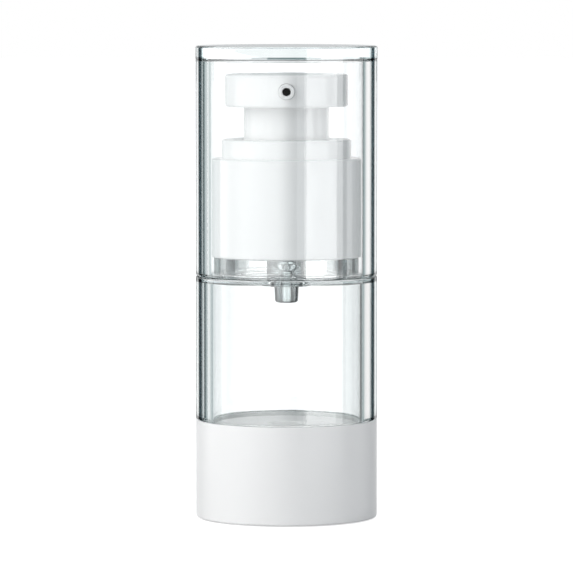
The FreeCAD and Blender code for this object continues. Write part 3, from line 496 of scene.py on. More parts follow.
# %% Panels of light and dark cards
SHEET_TOP = 0.095
SHEET_STEPS = 48
PANEL_RADIUS = 0.16
CARD_RADIUS = 0.13
PANEL_TINT, CARD_TINT = (1, 1, 1), (1.25, 1, 0.98)
SHEETS = {
    "panel_left": (-PANEL_RADIUS, PANEL_TINT, (
        (-115, 2.5), (-94, 2.4), (-86, 1.7), (-68, 1.7), (-60, 2.3), (-50, 2.4), (-14, 2.5), (-6, 2.0),
        (2, 1.0), (9, 0.3), (14, 0.05),
    )),
    "panel_right": (-PANEL_RADIUS, PANEL_TINT, (
        (24.1, 4.2), (72, 4.2), (73, 0.2), (89, 0.2), (91, 1.7), (108, 1.7), (110, 0.1),
    )),
    "card_left": (CARD_RADIUS, CARD_TINT, (
        (-80, 1.0), (-76, 0.4), (-57, 0.45), (-51, 0.8), (-44, 0.65), (-41, 0.35), (-39, 0.1), (-36, 0.07),
        (-34, 0.85), (-32, 0.95), (-26, 1.0), (-12, 1.0),
    )),
    "card_right": (CARD_RADIUS, CARD_TINT, (
        (12, 1.0), (20, 1.2), (36, 1.2), (41, 1.1), (46, 1.0), (52, 0.45), (55, 0.32), (57, 0.03),
        (76, 0.03), (80, 1.0),
    )),
}


def glow_for_mirrors(tree, colour, strength=1.0):
    """Gives a material a glow for rays that were mirrored at least once. All other rays pass through it."""
    glow = node(tree, "ShaderNodeEmission", {"Color": colour, "Strength": strength})
    clear = node(tree, "ShaderNodeBsdfTransparent")
    node(tree, "ShaderNodeOutputMaterial",
         {"Surface": mix_shaders(tree, was_mirrored(tree), clear, glow).outputs[0]})


def hide_from_sight(piece, in_front):
    """Hides a stage piece from the camera, from matt surfaces and from shadows.

    One behind the bottle is seen only by rays that were mirrored in a clear wall and then left it.
    """
    piece.visible_camera = False
    piece.visible_diffuse = False
    piece.visible_shadow = False
    piece.visible_glossy = in_front


def stage_sheet(name, radius, tint, levels):
    """An upright sheet with points (|R| sin a, R cos a, z), for mirrored rays only.

    Its map runs from 0 at the first angle to 1 at the last, and the ramp follows it. Each of red, green
    and blue is the level raised to its part of the tint, so that dark levels are the most tinted.
    """
    first, last = levels[0][0], levels[-1][0]
    strongest = max(level for _, level in levels)
    a = np.radians(np.linspace(first, last, SHEET_STEPS + 1))
    x, y = abs(radius) * np.sin(a), radius * np.cos(a)
    points = np.concatenate([np.stack([x, y, np.full_like(a, z)], axis=-1) for z in (0.0, SHEET_TOP)])
    j = np.arange(SHEET_STEPS)
    faces = np.stack([j, j + 1, j + SHEET_STEPS + 2, j + SHEET_STEPS + 1], axis=-1)
    mesh = bpy.data.meshes.new(name)
    mesh.from_pydata(points.tolist(), [], faces.tolist())
    across = mesh.uv_layers.new(name="across").uv
    spots = np.tile(np.linspace(0, 1, SHEET_STEPS + 1), 2)[faces.ravel()]
    across.foreach_set("vector", np.stack([spots, np.zeros_like(spots)], axis=-1).ravel())
    paint, tree = blank_material(name + " paint")
    place = node(tree, "ShaderNodeUVMap", uv_map="across")
    apart = node(tree, "ShaderNodeSeparateXYZ", {0: place.outputs[0]})
    stops = [((angle - first) / (last - first), [level ** part / strongest for part in tint])
             for angle, level in levels]
    glow_for_mirrors(tree, ramp_colour(tree, apart.outputs["X"], stops), strongest)
    mesh.materials.append(paint)
    sheet = bpy.data.objects.new(name, mesh)
    bpy.context.scene.collection.objects.link(sheet)
    sheet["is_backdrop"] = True
    hide_from_sight(sheet, radius < 0)
    print(f"{name}: from {first} to {last} degrees, {abs(radius):.2f} m from the axis")


for name, settings in SHEETS.items():
    stage_sheet(name, *settings)

# %% [markdown]
# Two flat strips mend what the sheets would spoil. A dark one stands just before the panels, at the
# nozzle's height, and keeps their light out of its bore. A grey one behind the bottle puts a little
# grey into the clear top of the cap.

# %% Strips
STRIPS = {
    "nozzle strip": (0.017, 0.003 - PANEL_RADIUS, (0.0727, 0.0751), (0.02, 0.02, 0.02, 1)),
    "cap top strip": (0.0145, CARD_RADIUS, (0.076, 0.10), (0.16, 0.22, 0.225, 1)),
}

for name, (half, y, (low, high), colour) in STRIPS.items():
    paint, tree = blank_material(name + " paint")
    glow_for_mirrors(tree, colour)
    strip = stage_plane(name, [(-half, y, low), (half, y, low), (half, y, high), (-half, y, high)], paint)
    hide_from_sight(strip, y < 0)
print("strips:", sorted(STRIPS))

# %% [markdown]
# ## Finishes
# Moulded plastic is never quite even. It has a faint orange peel from the mould, slow changes of
# tone and gloss where it cooled, and hairline marks from handling. Each plastic could carry its own
# noise nodes, but several finishes need the same two effects. So both are node groups, built once
# and used with values of their own.

# %% Node groups: moulded skin and handling marks
PEEL_SCALE, CLOUD_SCALE, SPECK_SCALE = 2200.0, 90.0, 650.0
HAIR_SCALE, HAIR_RANGE = 2600.0, (0.58, 0.72)
PATCH_SCALE, PATCH_RANGE = 120.0, (0.45, 0.75)


def new_group(name, inputs, outputs):
    """An empty shader node group: inputs are floats, or a vector where the value is None."""
    group = bpy.data.node_groups.new(name, "ShaderNodeTree")
    for label, value in inputs.items():
        kind = "NodeSocketVector" if value is None else "NodeSocketFloat"
        socket = group.interface.new_socket(label, in_out="INPUT", socket_type=kind)
        if value is not None:
            socket.default_value = value
    for label in outputs:
        group.interface.new_socket(label, in_out="OUTPUT", socket_type="NodeSocketFloat")
    return group, node(group, "NodeGroupInput").outputs, node(group, "NodeGroupOutput").inputs


def noise(tree, place, scale, detail, roughness=0.5):
    """The value of a noise pattern at a place."""
    values = {"Vector": place, "Scale": scale, "Detail": detail, "Roughness": roughness}
    return node(tree, "ShaderNodeTexNoise", values).outputs["Fac"]


skin, given, gives = new_group(
    "moulded skin", {"Place": None, "Peel Scale": PEEL_SCALE, "Cloud Scale": CLOUD_SCALE},
    ("Height", "Tone", "Gloss"))
skin.links.new(noise(skin, given["Place"], given["Peel Scale"], 2.0, 0.4), gives["Height"])
skin.links.new(noise(skin, given["Place"], given["Cloud Scale"], 3.0), gives["Tone"])
skin.links.new(noise(skin, given["Place"], SPECK_SCALE, 4.0), gives["Gloss"])

marks, given, gives = new_group(
    "handling marks", {"Place": None, "Along": 0.06, "Fineness": HAIR_SCALE, "Share": 0.35}, ("Marks",))
stretch = node(marks, "ShaderNodeCombineXYZ", {0: 1.0, 1: 1.0, 2: given["Along"]})
pulled = node(marks, "ShaderNodeVectorMath", {0: given["Place"], 1: stretch.outputs[0]},
              operation="MULTIPLY")
hair = between(marks, noise(marks, pulled.outputs[0], given["Fineness"], 3.0, 0.7), HAIR_RANGE)
patch = between(marks, noise(marks, given["Place"], PATCH_SCALE, 1.0), PATCH_RANGE)
in_patches = calculate(marks, "MULTIPLY", hair, patch)
marks.links.new(calculate(marks, "MULTIPLY", in_patches, given["Share"]), gives["Marks"])
print("node groups:", [g.name for g in bpy.data.node_groups])

# %% [markdown]
# The base, the collar, the button and the hidden pump pieces are opaque plastics. They share one
# recipe, because they differ only in tone and gloss: two close tones mixed by the cloud, roughness
# from the gloss noise and the marks, and a faint bump from the orange peel.

# %% Opaque plastics
PLASTIC_IOR = 1.49


def object_place(tree):
    """The place on the piece in the object's own coordinates, in metres."""
    return node(tree, "ShaderNodeTexCoord").outputs["Object"]


def skin_and_marks(tree, skin_values, mark_values):
    """Both node groups, placed on the piece with values of their own, as their outputs."""
    place = object_place(tree)
    return [node(tree, "ShaderNodeGroup", {"Place": place, **values}, node_tree=group).outputs
            for group, values in ((skin, skin_values), (marks, mark_values))]


def opaque_plastic(name, first, second, rough, spread, peel_depth, peel_scale=PEEL_SCALE):
    """A moulded opaque plastic between two tones, with roughness from rough to rough + spread."""
    material, tree = blank_material(name)
    shape, worn = skin_and_marks(tree, {"Peel Scale": peel_scale}, {})
    dull = calculate(tree, "MULTIPLY_ADD", shape["Gloss"], spread, rough)
    bump = node(tree, "ShaderNodeBump", {"Height": shape["Height"], "Distance": peel_depth})
    surface = node(tree, "ShaderNodeBsdfPrincipled", {
        "Base Color": two_tones(tree, shape["Tone"], first, second),
        "Roughness": calculate(tree, "ADD", dull, worn["Marks"]),
        "Normal": bump.outputs[0],
        "IOR": PLASTIC_IOR,
    })
    node(tree, "ShaderNodeOutputMaterial", {"Surface": surface.outputs[0]})
    return material


gloss_white = opaque_plastic(
    "gloss white plastic", (0.87, 0.87, 0.865, 1), (0.90, 0.90, 0.898, 1), 0.26, 0.1, 2e-6)
pump_white = opaque_plastic(
    "pump white plastic", (0.92, 0.92, 0.915, 1), (0.95, 0.95, 0.948, 1), 0.16, 0.08, 2e-6)
seal_white = opaque_plastic(
    "soft seal plastic", (0.92, 0.92, 0.91, 1), (0.95, 0.95, 0.945, 1), 0.36, 0.12, 4e-6)
inner_white = opaque_plastic(
    "inner plastic", (0.80, 0.80, 0.78, 1), (0.86, 0.86, 0.84, 1), 0.38, 0.15, 4e-6)
gasket_foam = opaque_plastic(
    "gasket foam", (0.70, 0.70, 0.67, 1), (0.83, 0.83, 0.80, 1), 0.75, 0.2, 2e-5, 6000.0)
print("opaque plastics:", [m.name for m in (gloss_white, pump_white, seal_white, inner_white, gasket_foam)])

# %% [markdown]
# The nozzle's bore is deep and narrow, so hardly any light comes back out of it. That shade is painted
# into the base colour: a second material slot could paint it, but a mask by the distance from the
# nozzle's axis keeps one slot and gives a soft edge. It works on a copy of the pump's white plastic.

# %% Nozzle plastic
NOZZLE_HEIGHT = 77.75
# The bore's painted shade: the mask's edge in millimetres, and the near black painted inside it.
BORE_EDGE, BORE_PAINTED_SHADE = (0.70, 0.76), (0.012, 0.012, 0.014, 1)


def base_colour(tree):
    """The base colour's socket in a plastic, and the tone that feeds it."""
    surface = next(n for n in tree.nodes if n.type == "BSDF_PRINCIPLED")
    socket = surface.inputs["Base Color"]
    return socket, socket.links[0].from_socket


nozzle_white = pump_white.copy()
nozzle_white.name = "nozzle plastic"
tree = nozzle_white.node_tree
apart = node(tree, "ShaderNodeSeparateXYZ", {0: object_place(tree)})
up = calculate(tree, "SUBTRACT", apart.outputs["Z"], NOZZLE_HEIGHT * MM)
across = node(tree, "ShaderNodeCombineXYZ", {0: apart.outputs["X"], 1: up})
far = node(tree, "ShaderNodeVectorMath", {0: across.outputs[0]}, operation="LENGTH")
# Painted shade: within this distance of the nozzle's axis the base colour turns near black.
mask = between(tree, far.outputs["Value"], [edge * MM for edge in BORE_EDGE])
socket, tone = base_colour(tree)
tree.links.new(two_tones(tree, mask, BORE_PAINTED_SHADE, tone), socket)
print("nozzle plastic: dark within", BORE_EDGE[0], "mm of the nozzle's axis")

# %% [markdown]
# The overcap and the bottle are clear plastic, and the pump's cylinder and closure are natural, less
# clear plastic. A plain glass shader would do for a thin pane. Here lamps have to light the white
# pump through the wall, which no glass shader lets them do in one step. So rays from lamps and from
# matt surfaces meet a plain transparent shader, and all others a smooth Principled shader with full
# transmission. A faint absorption inside the wall gives the cool tint of thick plastic. Where sight
# lines graze the wall, as they do where they bend round it to the dark sides of a room, a painted
# shade darkens the base colour by the sight line's angle.

# %% Clear plastics
# Painted shade for the clear walls: a ramp by how far the sight line grazes the wall, darkening the base
# colour.
WALL_GRAZE_SHADE_DARK = (0.0025, 0.0065, 0.008)
WALL_GRAZE_SHADE = (
    (0.57, (1, 1, 1)), (0.605, (0.70, 0.76, 0.76)), (0.63, (0.22, 0.27, 0.28)),
    (0.655, (0.015, 0.022, 0.025)), (0.68, WALL_GRAZE_SHADE_DARK), (0.735, WALL_GRAZE_SHADE_DARK),
    (0.765, (0.3, 0.32, 0.32)), (0.80, (0.7, 0.71, 0.71)), (0.87, (0.9, 0.9, 0.9)),
)
WALL = {
    "tones": ((0.953, 0.958, 0.958, 1), (0.96, 0.965, 0.965, 1)), "film": (0.94, 0.945, 0.945, 1),
    "tint": (0.70, 0.90, 0.92, 1), "density": 8.0, "rough": 0.002, "share": 0.03, "outside": 16.3,
}
# Painted shade for the pump's natural plastic, by the same kind of grazing ramp.
PUMP_GRAZE_SHADE_DARK = (0.01, 0.012, 0.014)
PUMP_GRAZE_SHADE = (
    (0.06, (1, 1, 1)), (0.2, (0.35, 0.37, 0.38)), (0.4, PUMP_GRAZE_SHADE_DARK), (1.0, PUMP_GRAZE_SHADE_DARK),
)
PUMP = {
    "tones": ((0.78, 0.82, 0.82, 1), (0.85, 0.88, 0.88, 1)), "film": (0.92, 0.94, 0.94, 1),
    "tint": (0.70, 0.84, 0.86, 1), "density": 30.0, "rough": 0.008, "share": 0.02, "outside": 0.5,
}


def from_axis(tree, place):
    """The distance from the bottle's axis: the length of (x, y, 0)."""
    flat = node(tree, "ShaderNodeVectorMath", {0: place, 1: (1, 1, 0)}, operation="MULTIPLY")
    return node(tree, "ShaderNodeVectorMath", {0: flat.outputs[0]}, operation="LENGTH").outputs["Value"]


def painted_graze_shade(tree, stops):
    """Painted shade from a ramp by the sight line: place 0 is square on the wall, and 1 is along it."""
    return ramp_colour(tree, node(tree, "ShaderNodeLayerWeight", {"Blend": 0.5}).outputs["Facing"], stops)


def clear_plastic(name, graze_shade_stops, tones, film, tint, density, rough, share, outside):
    """A see-through plastic between two tones, with a tint of some density inside its walls.

    Beyond the distance outside from the axis, in millimetres, handling leaves a share of fine marks in
    its polish, and sight lines that graze the wall take a painted shade from the ramp given second.
    """
    material, tree = blank_material(name)
    shape, worn = skin_and_marks(tree, {}, {"Share": share})
    outer = calculate(tree, "GREATER_THAN", from_axis(tree, object_place(tree)), outside * MM)
    tone = two_tones(tree, shape["Tone"], *tones)
    surface = node(tree, "ShaderNodeBsdfPrincipled", {
        # Painted shade: beyond outside, the base colour is multiplied by the grazing ramp.
        "Base Color": two_tones(tree, outer, tone, painted_graze_shade(tree, graze_shade_stops), "MULTIPLY"),
        "Roughness": calculate(tree, "MULTIPLY_ADD", worn["Marks"], outer, rough),
        "Transmission Weight": 1.0,
        "IOR": PLASTIC_IOR,
    })
    clear = node(tree, "ShaderNodeBsdfTransparent", {"Color": film})
    path = node(tree, "ShaderNodeLightPath")
    soft = calculate(tree, "MAXIMUM", path.outputs["Is Shadow Ray"], path.outputs["Is Diffuse Ray"])
    mixed = mix_shaders(tree, soft, surface, clear)
    inside = node(tree, "ShaderNodeVolumeAbsorption", {"Color": tint, "Density": density})
    node(tree, "ShaderNodeOutputMaterial", {"Surface": mixed.outputs[0], "Volume": inside.outputs[0]})
    return material


clear_wall = clear_plastic("clear wall plastic", WALL_GRAZE_SHADE, **WALL)
clear_pump = clear_plastic("natural pump plastic", PUMP_GRAZE_SHADE, **PUMP)
print("clear plastics:", clear_wall.name, "and", clear_pump.name)

# %% [markdown]
# The bottle's wall gets a painted shade that darkens slowly towards its sides, which the cap's does
# not, so the bottle has a clear plastic of its own. Its upright neck ring is thin and bends sight lines
# to the side; its dark upright bars at both ends are painted shade too, and it stays clear in the middle.
# The ring could be a piece of its own, but it is one moulding with the bottle, so a mask by radius and
# height picks it out for its painted bars.

# %% Bottle plastic
# Painted shade that darkens the bottle's wall towards its sides, by the sight line's angle.
SIDE_SHADE = (
    (0.04, (0.93, 0.93, 0.925)), (0.15, (0.86, 0.865, 0.86)), (0.22, (0.80, 0.815, 0.81)),
    (0.32, (0.72, 0.745, 0.745)), (0.40, (0.62, 0.655, 0.665)), (0.44, (1, 1, 1)),
)
RING_RADII, RING_HEIGHTS = (12.3, 13.3), (44.8, 47.5)
# Painted shade of the neck ring: dark bars where sight lines graze it, clear in the middle.
RING_PAINTED_BAR, RING_CLEAR = (0.10, 0.13, 0.14), (0.93, 0.94, 0.94)
RING_GRAZE_SHADE = (
    (0.165, (1, 1, 1)), (0.175, (0.50, 0.52, 0.52)), (0.29, (0.44, 0.47, 0.47)), (0.30, RING_PAINTED_BAR),
    (0.45, RING_PAINTED_BAR), (0.46, RING_CLEAR), (0.70, RING_CLEAR), (0.78, (0.1, 0.11, 0.11)),
)


def in_range(tree, value, ends):
    """A value of 1 between two ends, in millimetres, and 0 elsewhere."""
    middle, half = sum(ends) / 2 * MM, (ends[1] - ends[0]) / 2 * MM
    return calculate(tree, "COMPARE", value, middle, half)


bottle_clear = clear_plastic("clear bottle plastic", SIDE_SHADE + WALL_GRAZE_SHADE, **WALL)
tree = bottle_clear.node_tree
place = object_place(tree)
up = node(tree, "ShaderNodeSeparateXYZ", {0: place}).outputs["Z"]
ring = calculate(tree, "MULTIPLY", in_range(tree, from_axis(tree, place), RING_RADII),
                 in_range(tree, up, RING_HEIGHTS))
socket, tone = base_colour(tree)
# Painted shade: the ring's dark bars are multiplied into its base colour.
tree.links.new(two_tones(tree, ring, tone, painted_graze_shade(tree, RING_GRAZE_SHADE), "MULTIPLY"), socket)
print("bottle plastic: the ring's bars stand from", *RING_HEIGHTS, "mm")

# %% [markdown]
# The spring's wire has marks drawn along it, and the ball is polished. Both are bare steel, so one
# recipe serves: full Metallic, two close tones, and roughness from the marks. The marks are finer
# than on plastic.

# %% Steels
STEEL_CLOUD_SCALE, STEEL_HAIR_SCALE, STEEL_SHARE = 400.0, 5000.0, 0.25


def steel(name, first, second, rough, along):
    """Bare steel between two tones, with marks that are longer the smaller along is."""
    material, tree = blank_material(name)
    shape, worn = skin_and_marks(tree, {"Cloud Scale": STEEL_CLOUD_SCALE},
                                 {"Along": along, "Fineness": STEEL_HAIR_SCALE, "Share": STEEL_SHARE})
    surface = node(tree, "ShaderNodeBsdfPrincipled", {
        "Base Color": two_tones(tree, shape["Tone"], first, second),
        "Metallic": 1.0,
        "Roughness": calculate(tree, "ADD", worn["Marks"], rough),
    })
    node(tree, "ShaderNodeOutputMaterial", {"Surface": surface.outputs[0]})
    return material


spring_steel = steel("drawn spring wire", (0.56, 0.55, 0.53, 1), (0.66, 0.65, 0.63, 1), 0.22, 0.4)
ball_steel = steel("polished ball steel", (0.66, 0.66, 0.67, 1), (0.72, 0.72, 0.73, 1), 0.06, 1.0)
print("steels:", spring_steel.name, "and", ball_steel.name)

# %% [markdown]
# ## The overcap
# A thick clear cup that slips over the pump. A cylinder with Solidify would give every wall one
# thickness, but the real cup's top is thinner than its side, and a thick clear wall bends sight
# lines strongly. So one profile draws both its inner and its outer wall, with softened rims.

# %% Overcap
OUTER_RADIUS = 16.5
CAP_BORE, CAP_LEAD_IN = 13.85, 0.35
CAP_LOW, CAP_CEILING, CAP_TOP = 44.1, 83.55, 85.8

overcap = turn("overcap", [
    (0, CAP_CEILING, 0), (CAP_BORE, CAP_CEILING, 0.6), (CAP_BORE, CAP_LOW + CAP_LEAD_IN, 0.08),
    (CAP_BORE + CAP_LEAD_IN, CAP_LOW, 0.08), (OUTER_RADIUS, CAP_LOW, 0.4), (OUTER_RADIUS, CAP_TOP, 0.4),
    (0, CAP_TOP, 0),
])
dress(overcap, "overcap", "cap", clear_wall)

# %% [markdown]
# ## The bottle
# One clear moulding: a thick wall with a narrower skirt that hides in the base, a flat shoulder
# with a hole for the pump's inlet, an upright ring, and the neck that the pump clips onto. Cylinders
# joined by booleans would leave stray edges that clear plastic shows, so one profile follows the
# whole section, from the skirt up over the neck and down the inside.

# %% Bottle
SKIRT_END, BODY_LOW, SHOULDER_UNDER, SHOULDER, NECK_TOP = 2.7, 17.85, 43.1, 44.0, 56.0
BODY_BORE, SKIRT, NECK, NECK_BORE, INLET_HOLE = 13.45, 15.05, 11.15, 9.5, 3.0
GROOVE, GROOVE_LOW, GROOVE_TOP = 14.65, 8.5, 10.1
STEP, STEP_TOP = 13.6, 44.75
RING_INSIDE, RING_OUTSIDE, RING_LOW, RING_TOP = 12.4, 13.2, 44.9, 47.55
NECK_BEAD, BEAD_LOW, BEAD_TOP, BEAD_SLOPE = 11.4, 52.5, 53.5, 0.25

bottle = turn("bottle", [
    (BODY_BORE, SKIRT_END, 0.1), (SKIRT, SKIRT_END, 0.15), (SKIRT, GROOVE_LOW, 0.05),
    (GROOVE, GROOVE_LOW, 0.1), (GROOVE, GROOVE_TOP, 0.1), (SKIRT, GROOVE_TOP, 0.05),
    (SKIRT, BODY_LOW, 0.1), (OUTER_RADIUS, BODY_LOW, 0.3), (OUTER_RADIUS, SHOULDER, 0.3),
    (STEP, SHOULDER, 0.08), (STEP, STEP_TOP, 0.1), (RING_OUTSIDE, STEP_TOP, 0.08),
    (RING_OUTSIDE, RING_TOP, 0.1), (RING_INSIDE, RING_TOP, 0.1), (RING_INSIDE, RING_LOW, 0.1),
    (NECK, RING_LOW, 0.1), (NECK, BEAD_LOW, 0.05), (NECK_BEAD, BEAD_LOW + BEAD_SLOPE, 0.05),
    (NECK_BEAD, BEAD_TOP - BEAD_SLOPE, 0.05), (NECK, BEAD_TOP, 0.05), (NECK, NECK_TOP, 0.1),
    (NECK_BORE, NECK_TOP, 0.1), (NECK_BORE, SHOULDER, 0.15), (INLET_HOLE, SHOULDER, 0.08),
    (INLET_HOLE, SHOULDER_UNDER, 0.08), (BODY_BORE, SHOULDER_UNDER, 0.25),
])
dress(bottle, "bottle", "container", bottle_clear)

# %% [markdown]
# ## The base and the follower
# The base cup is white and holds the bottle's skirt with a small bead. Its foot ring has two
# notches, and six ribs stand on its floor round the vent. Cubes could be joined on for the ribs, but
# pulling the columns of the turned grid up to them keeps one clean mesh. SLIP lets a test reach just
# past the wall that it names.

# %% Base cup
SLIP = 0.01
NOTCHES = (2, 1.0, 15.2)
NOTCH_DEPTH, NOTCH_INSIDE, FOOT_INSIDE = 0.45, 13.0, 13.9
FLOOR_RIBS = (6, 0.4, 6.7)
RIB_TOP, BASE_FLOOR = 4.4, 2.4
VENT, VENT_LAND, FLOOR_UNDER = 0.8, 1.6, 0.9
STOP_RING, STOP_OUTSIDE, STOP_TOP = 11.75, 13.15, 7.4
SOCKET, RIM = 15.1, 17.8
HOLD_BEAD, HOLD_LOW, HOLD_TOP, HOLD_SLOPE = 14.8, 8.6, 10.0, 0.3


def notch_foot(r, z, angles):
    """Lifts the foot ring in the notches, and the floor between vent and stop ring along the ribs."""
    z = np.where(in_strip(angles, *NOTCHES) & (r > NOTCH_INSIDE), np.maximum(z, NOTCH_DEPTH), z)
    on_floor = (r > VENT_LAND - SLIP) & (r < STOP_RING + SLIP) & (z > BASE_FLOOR - SLIP)
    return r, np.where(in_strip(angles, *FLOOR_RIBS) & on_floor, np.maximum(z, RIB_TOP), z)


base_cup = turn("base_cup", [
    (VENT, FLOOR_UNDER, 0.1), (FOOT_INSIDE, FLOOR_UNDER, 0.1), (FOOT_INSIDE, 0, 0.3),
    (OUTER_RADIUS, 0, 0.4), (OUTER_RADIUS, RIM, 0.15), (SOCKET, RIM, 0.15), (SOCKET, HOLD_TOP, 0.05),
    (HOLD_BEAD, HOLD_TOP - HOLD_SLOPE, 0.1), (HOLD_BEAD, HOLD_LOW + HOLD_SLOPE, 0.1),
    (SOCKET, HOLD_LOW, 0.05), (SOCKET, BASE_FLOOR, 0.2), (STOP_OUTSIDE, BASE_FLOOR, 0.2),
    (STOP_OUTSIDE, STOP_TOP, 0.2), (STOP_RING, STOP_TOP, 0.2), (STOP_RING, BASE_FLOOR, 0.3),
    (VENT_LAND, BASE_FLOOR, 0), (VENT_LAND - 2 * SLIP, BASE_FLOOR, 0), (VENT, BASE_FLOOR, 0.1),
], wheel(COLUMNS, (NOTCHES, FLOOR_RIBS)), notch_foot)
dress(base_cup, "base_cup", "container", gloss_white)

# %% [markdown]
# The follower piston is a white cup upside down, with a lip at each end, a well that makes room for
# the pump's inlet tip, and six ribs under its crown. It rises in the bottle as the product is used
# up. It is made as the base cup is, so that both have the same kind of ribs.

# %% Follower piston
CROWN_RIBS = (6, 0.4, 8.0)
CROWN_RIB_END, CROWN_UNDER, CROWN = 13.0, 16.0, 17.2
LIP, WAIST, PISTON_INSIDE, WELL, WELL_INSIDE = 13.37, 12.82, 11.72, 4.45, 3.35
PISTON_LOW, WELL_LOW, WELL_FLOOR = 7.45, 11.65, 12.85
EDGE_HEIGHT, EDGE_SLOPE = 1.4, 0.55


def rib_crown(r, z, angles):
    """Lowers the crown's underside to the ends of its ribs."""
    under = (r > WELL - SLIP) & (r < PISTON_INSIDE + SLIP) & (z > CROWN_RIB_END) & (z < CROWN_UNDER + SLIP)
    return r, np.where(in_strip(angles, *CROWN_RIBS) & under, CROWN_RIB_END, z)


follower = turn("follower_piston", [
    (0, WELL_FLOOR, 0), (WELL_INSIDE, WELL_FLOOR, 0.3), (WELL_INSIDE, CROWN, 0.3), (LIP, CROWN, 0.3),
    (LIP, CROWN - EDGE_HEIGHT, 0.1), (WAIST, CROWN - EDGE_HEIGHT - EDGE_SLOPE, 0.1),
    (WAIST, PISTON_LOW + EDGE_HEIGHT + EDGE_SLOPE, 0.1), (LIP, PISTON_LOW + EDGE_HEIGHT, 0.1),
    (LIP, PISTON_LOW, 0.2), (PISTON_INSIDE, PISTON_LOW, 0.2), (PISTON_INSIDE, CROWN_UNDER, 0.3),
    (WELL, CROWN_UNDER, 0.3), (WELL, WELL_LOW, 0.3), (0, WELL_LOW, 0),
], wheel(COLUMNS, (CROWN_RIBS,)), rib_crown)
dress(follower, "follower_piston", "follower", seal_white)

# %% [markdown]
# ## The pump's still pieces
# The cylinder hangs in the neck by its flange, with its inlet tip below the shoulder. A gasket seals
# it, and a cap closes its top. Plain cylinders would do for what hides behind the collar, but the
# clear shoulder shows the tip, and a viewer who takes the bottle apart sees the rest. So each is the
# profile of the real moulding, with its lips and beads.

# %% Pump cylinder, gasket and cylinder cap
PUMP_COLUMNS = 128
FIT = 0.05
TIP, TIP_ROOT, TIP_BORE, TIP_LOW, TIP_TOP = 2.1, 2.25, 1.1, 39.15, 42.3
SPIGOT, VALVE_BODY, VALVE_BORE = 2.95, 3.6, 2.3
VALVE_LOW, CONE_LOW, CONE_TOP, VALVE_TOP = 44.05, 45.1, 46.3, 49.8
CHAMBER, CHAMBER_BORE, CHAMBER_LOW, CHAMBER_TOP = 4.7, 3.9, 49.0, 61.0
FLANGE_UNDER, FLANGE_TOP = 56.4, 57.6
PLUG, PLUG_INSIDE, PLUG_LOW = 9.45, 8.65, 53.4
CLIP, CLIP_LOW, CLIP_TOP, CLIP_SLOPE = 4.85, 59.4, 60.0, 0.15

pump_cylinder = turn("pump_cylinder", [
    (TIP_BORE, TIP_LOW, 0.15), (TIP, TIP_LOW, 0.6), (TIP_ROOT, TIP_TOP, 0.05), (SPIGOT, TIP_TOP, 0.1),
    (SPIGOT, VALVE_LOW, 0.05), (VALVE_BODY, VALVE_LOW, 0.1), (VALVE_BODY, CHAMBER_LOW, 0.1),
    (CHAMBER, CHAMBER_LOW, 0.2), (CHAMBER, FLANGE_UNDER, 0.1), (PLUG_INSIDE, FLANGE_UNDER, 0.1),
    (PLUG_INSIDE, PLUG_LOW, 0.1), (PLUG, PLUG_LOW, 0.2), (PLUG, FLANGE_UNDER, 0.1),
    (NECK, FLANGE_UNDER, 0.1), (NECK, FLANGE_TOP, 0.1), (CHAMBER, FLANGE_TOP, 0.1),
    (CHAMBER, CLIP_LOW, 0.05), (CLIP, CLIP_LOW + CLIP_SLOPE, 0.05), (CLIP, CLIP_TOP - CLIP_SLOPE, 0.05),
    (CHAMBER, CLIP_TOP, 0.05), (CHAMBER, CHAMBER_TOP, 0.1), (CHAMBER_BORE, CHAMBER_TOP, 0.1),
    (CHAMBER_BORE, VALVE_TOP, 0.1), (VALVE_BORE, VALVE_TOP, 0.05), (VALVE_BORE, CONE_TOP, 0.1),
    (TIP_BORE, CONE_LOW, 0.1),
])
dress(pump_cylinder, "pump_cylinder", "container", clear_pump)

gasket = turn("neck_gasket", [
    (NECK_BORE, NECK_TOP, 0.1), (NECK, NECK_TOP, 0.1), (NECK, FLANGE_UNDER, 0.1),
    (NECK_BORE, FLANGE_UNDER, 0.1),
])
dress(gasket, "neck_gasket", "container", gasket_foam)

LID, LID_LOW, LID_TOP, GUIDE_BORE = 5.5, 58.7, 62.05, 2.3
LID_PLUG_INSIDE, LID_PLUG_LOW = 3.05, 60.35
lid_seat, lid_bore, lid_plug = CHAMBER_TOP + FIT, CHAMBER + FIT, CHAMBER_BORE - FIT
clip_room, clip_low, clip_top = CLIP + 2 * FIT, CLIP_LOW - 2 * FIT, CLIP_TOP + 2 * FIT

cylinder_cap = turn("cylinder_cap", [
    (GUIDE_BORE, lid_seat, 0.05), (LID_PLUG_INSIDE, lid_seat, 0.05), (LID_PLUG_INSIDE, LID_PLUG_LOW, 0.05),
    (lid_plug, LID_PLUG_LOW, 0.05), (lid_plug, lid_seat, 0.03), (lid_bore, lid_seat, 0.05),
    (lid_bore, clip_top, 0.03), (clip_room, clip_top, 0.05), (clip_room, clip_low, 0.05),
    (lid_bore, clip_low, 0.03), (lid_bore, LID_LOW, 0.05), (LID, LID_LOW, 0.1), (LID, LID_TOP, 0.2),
    (GUIDE_BORE, LID_TOP, 0.05),
], wheel(PUMP_COLUMNS))
dress(cylinder_cap, "cylinder_cap", "container", inner_white)

# %% [markdown]
# A slotted closure snaps under the neck's bead and clamps the flange, and the white collar covers
# it. The slots let the closure's fingers bend outwards. They reach down to its lower edge, so the
# edge is pulled up in their columns, which needs no boolean.

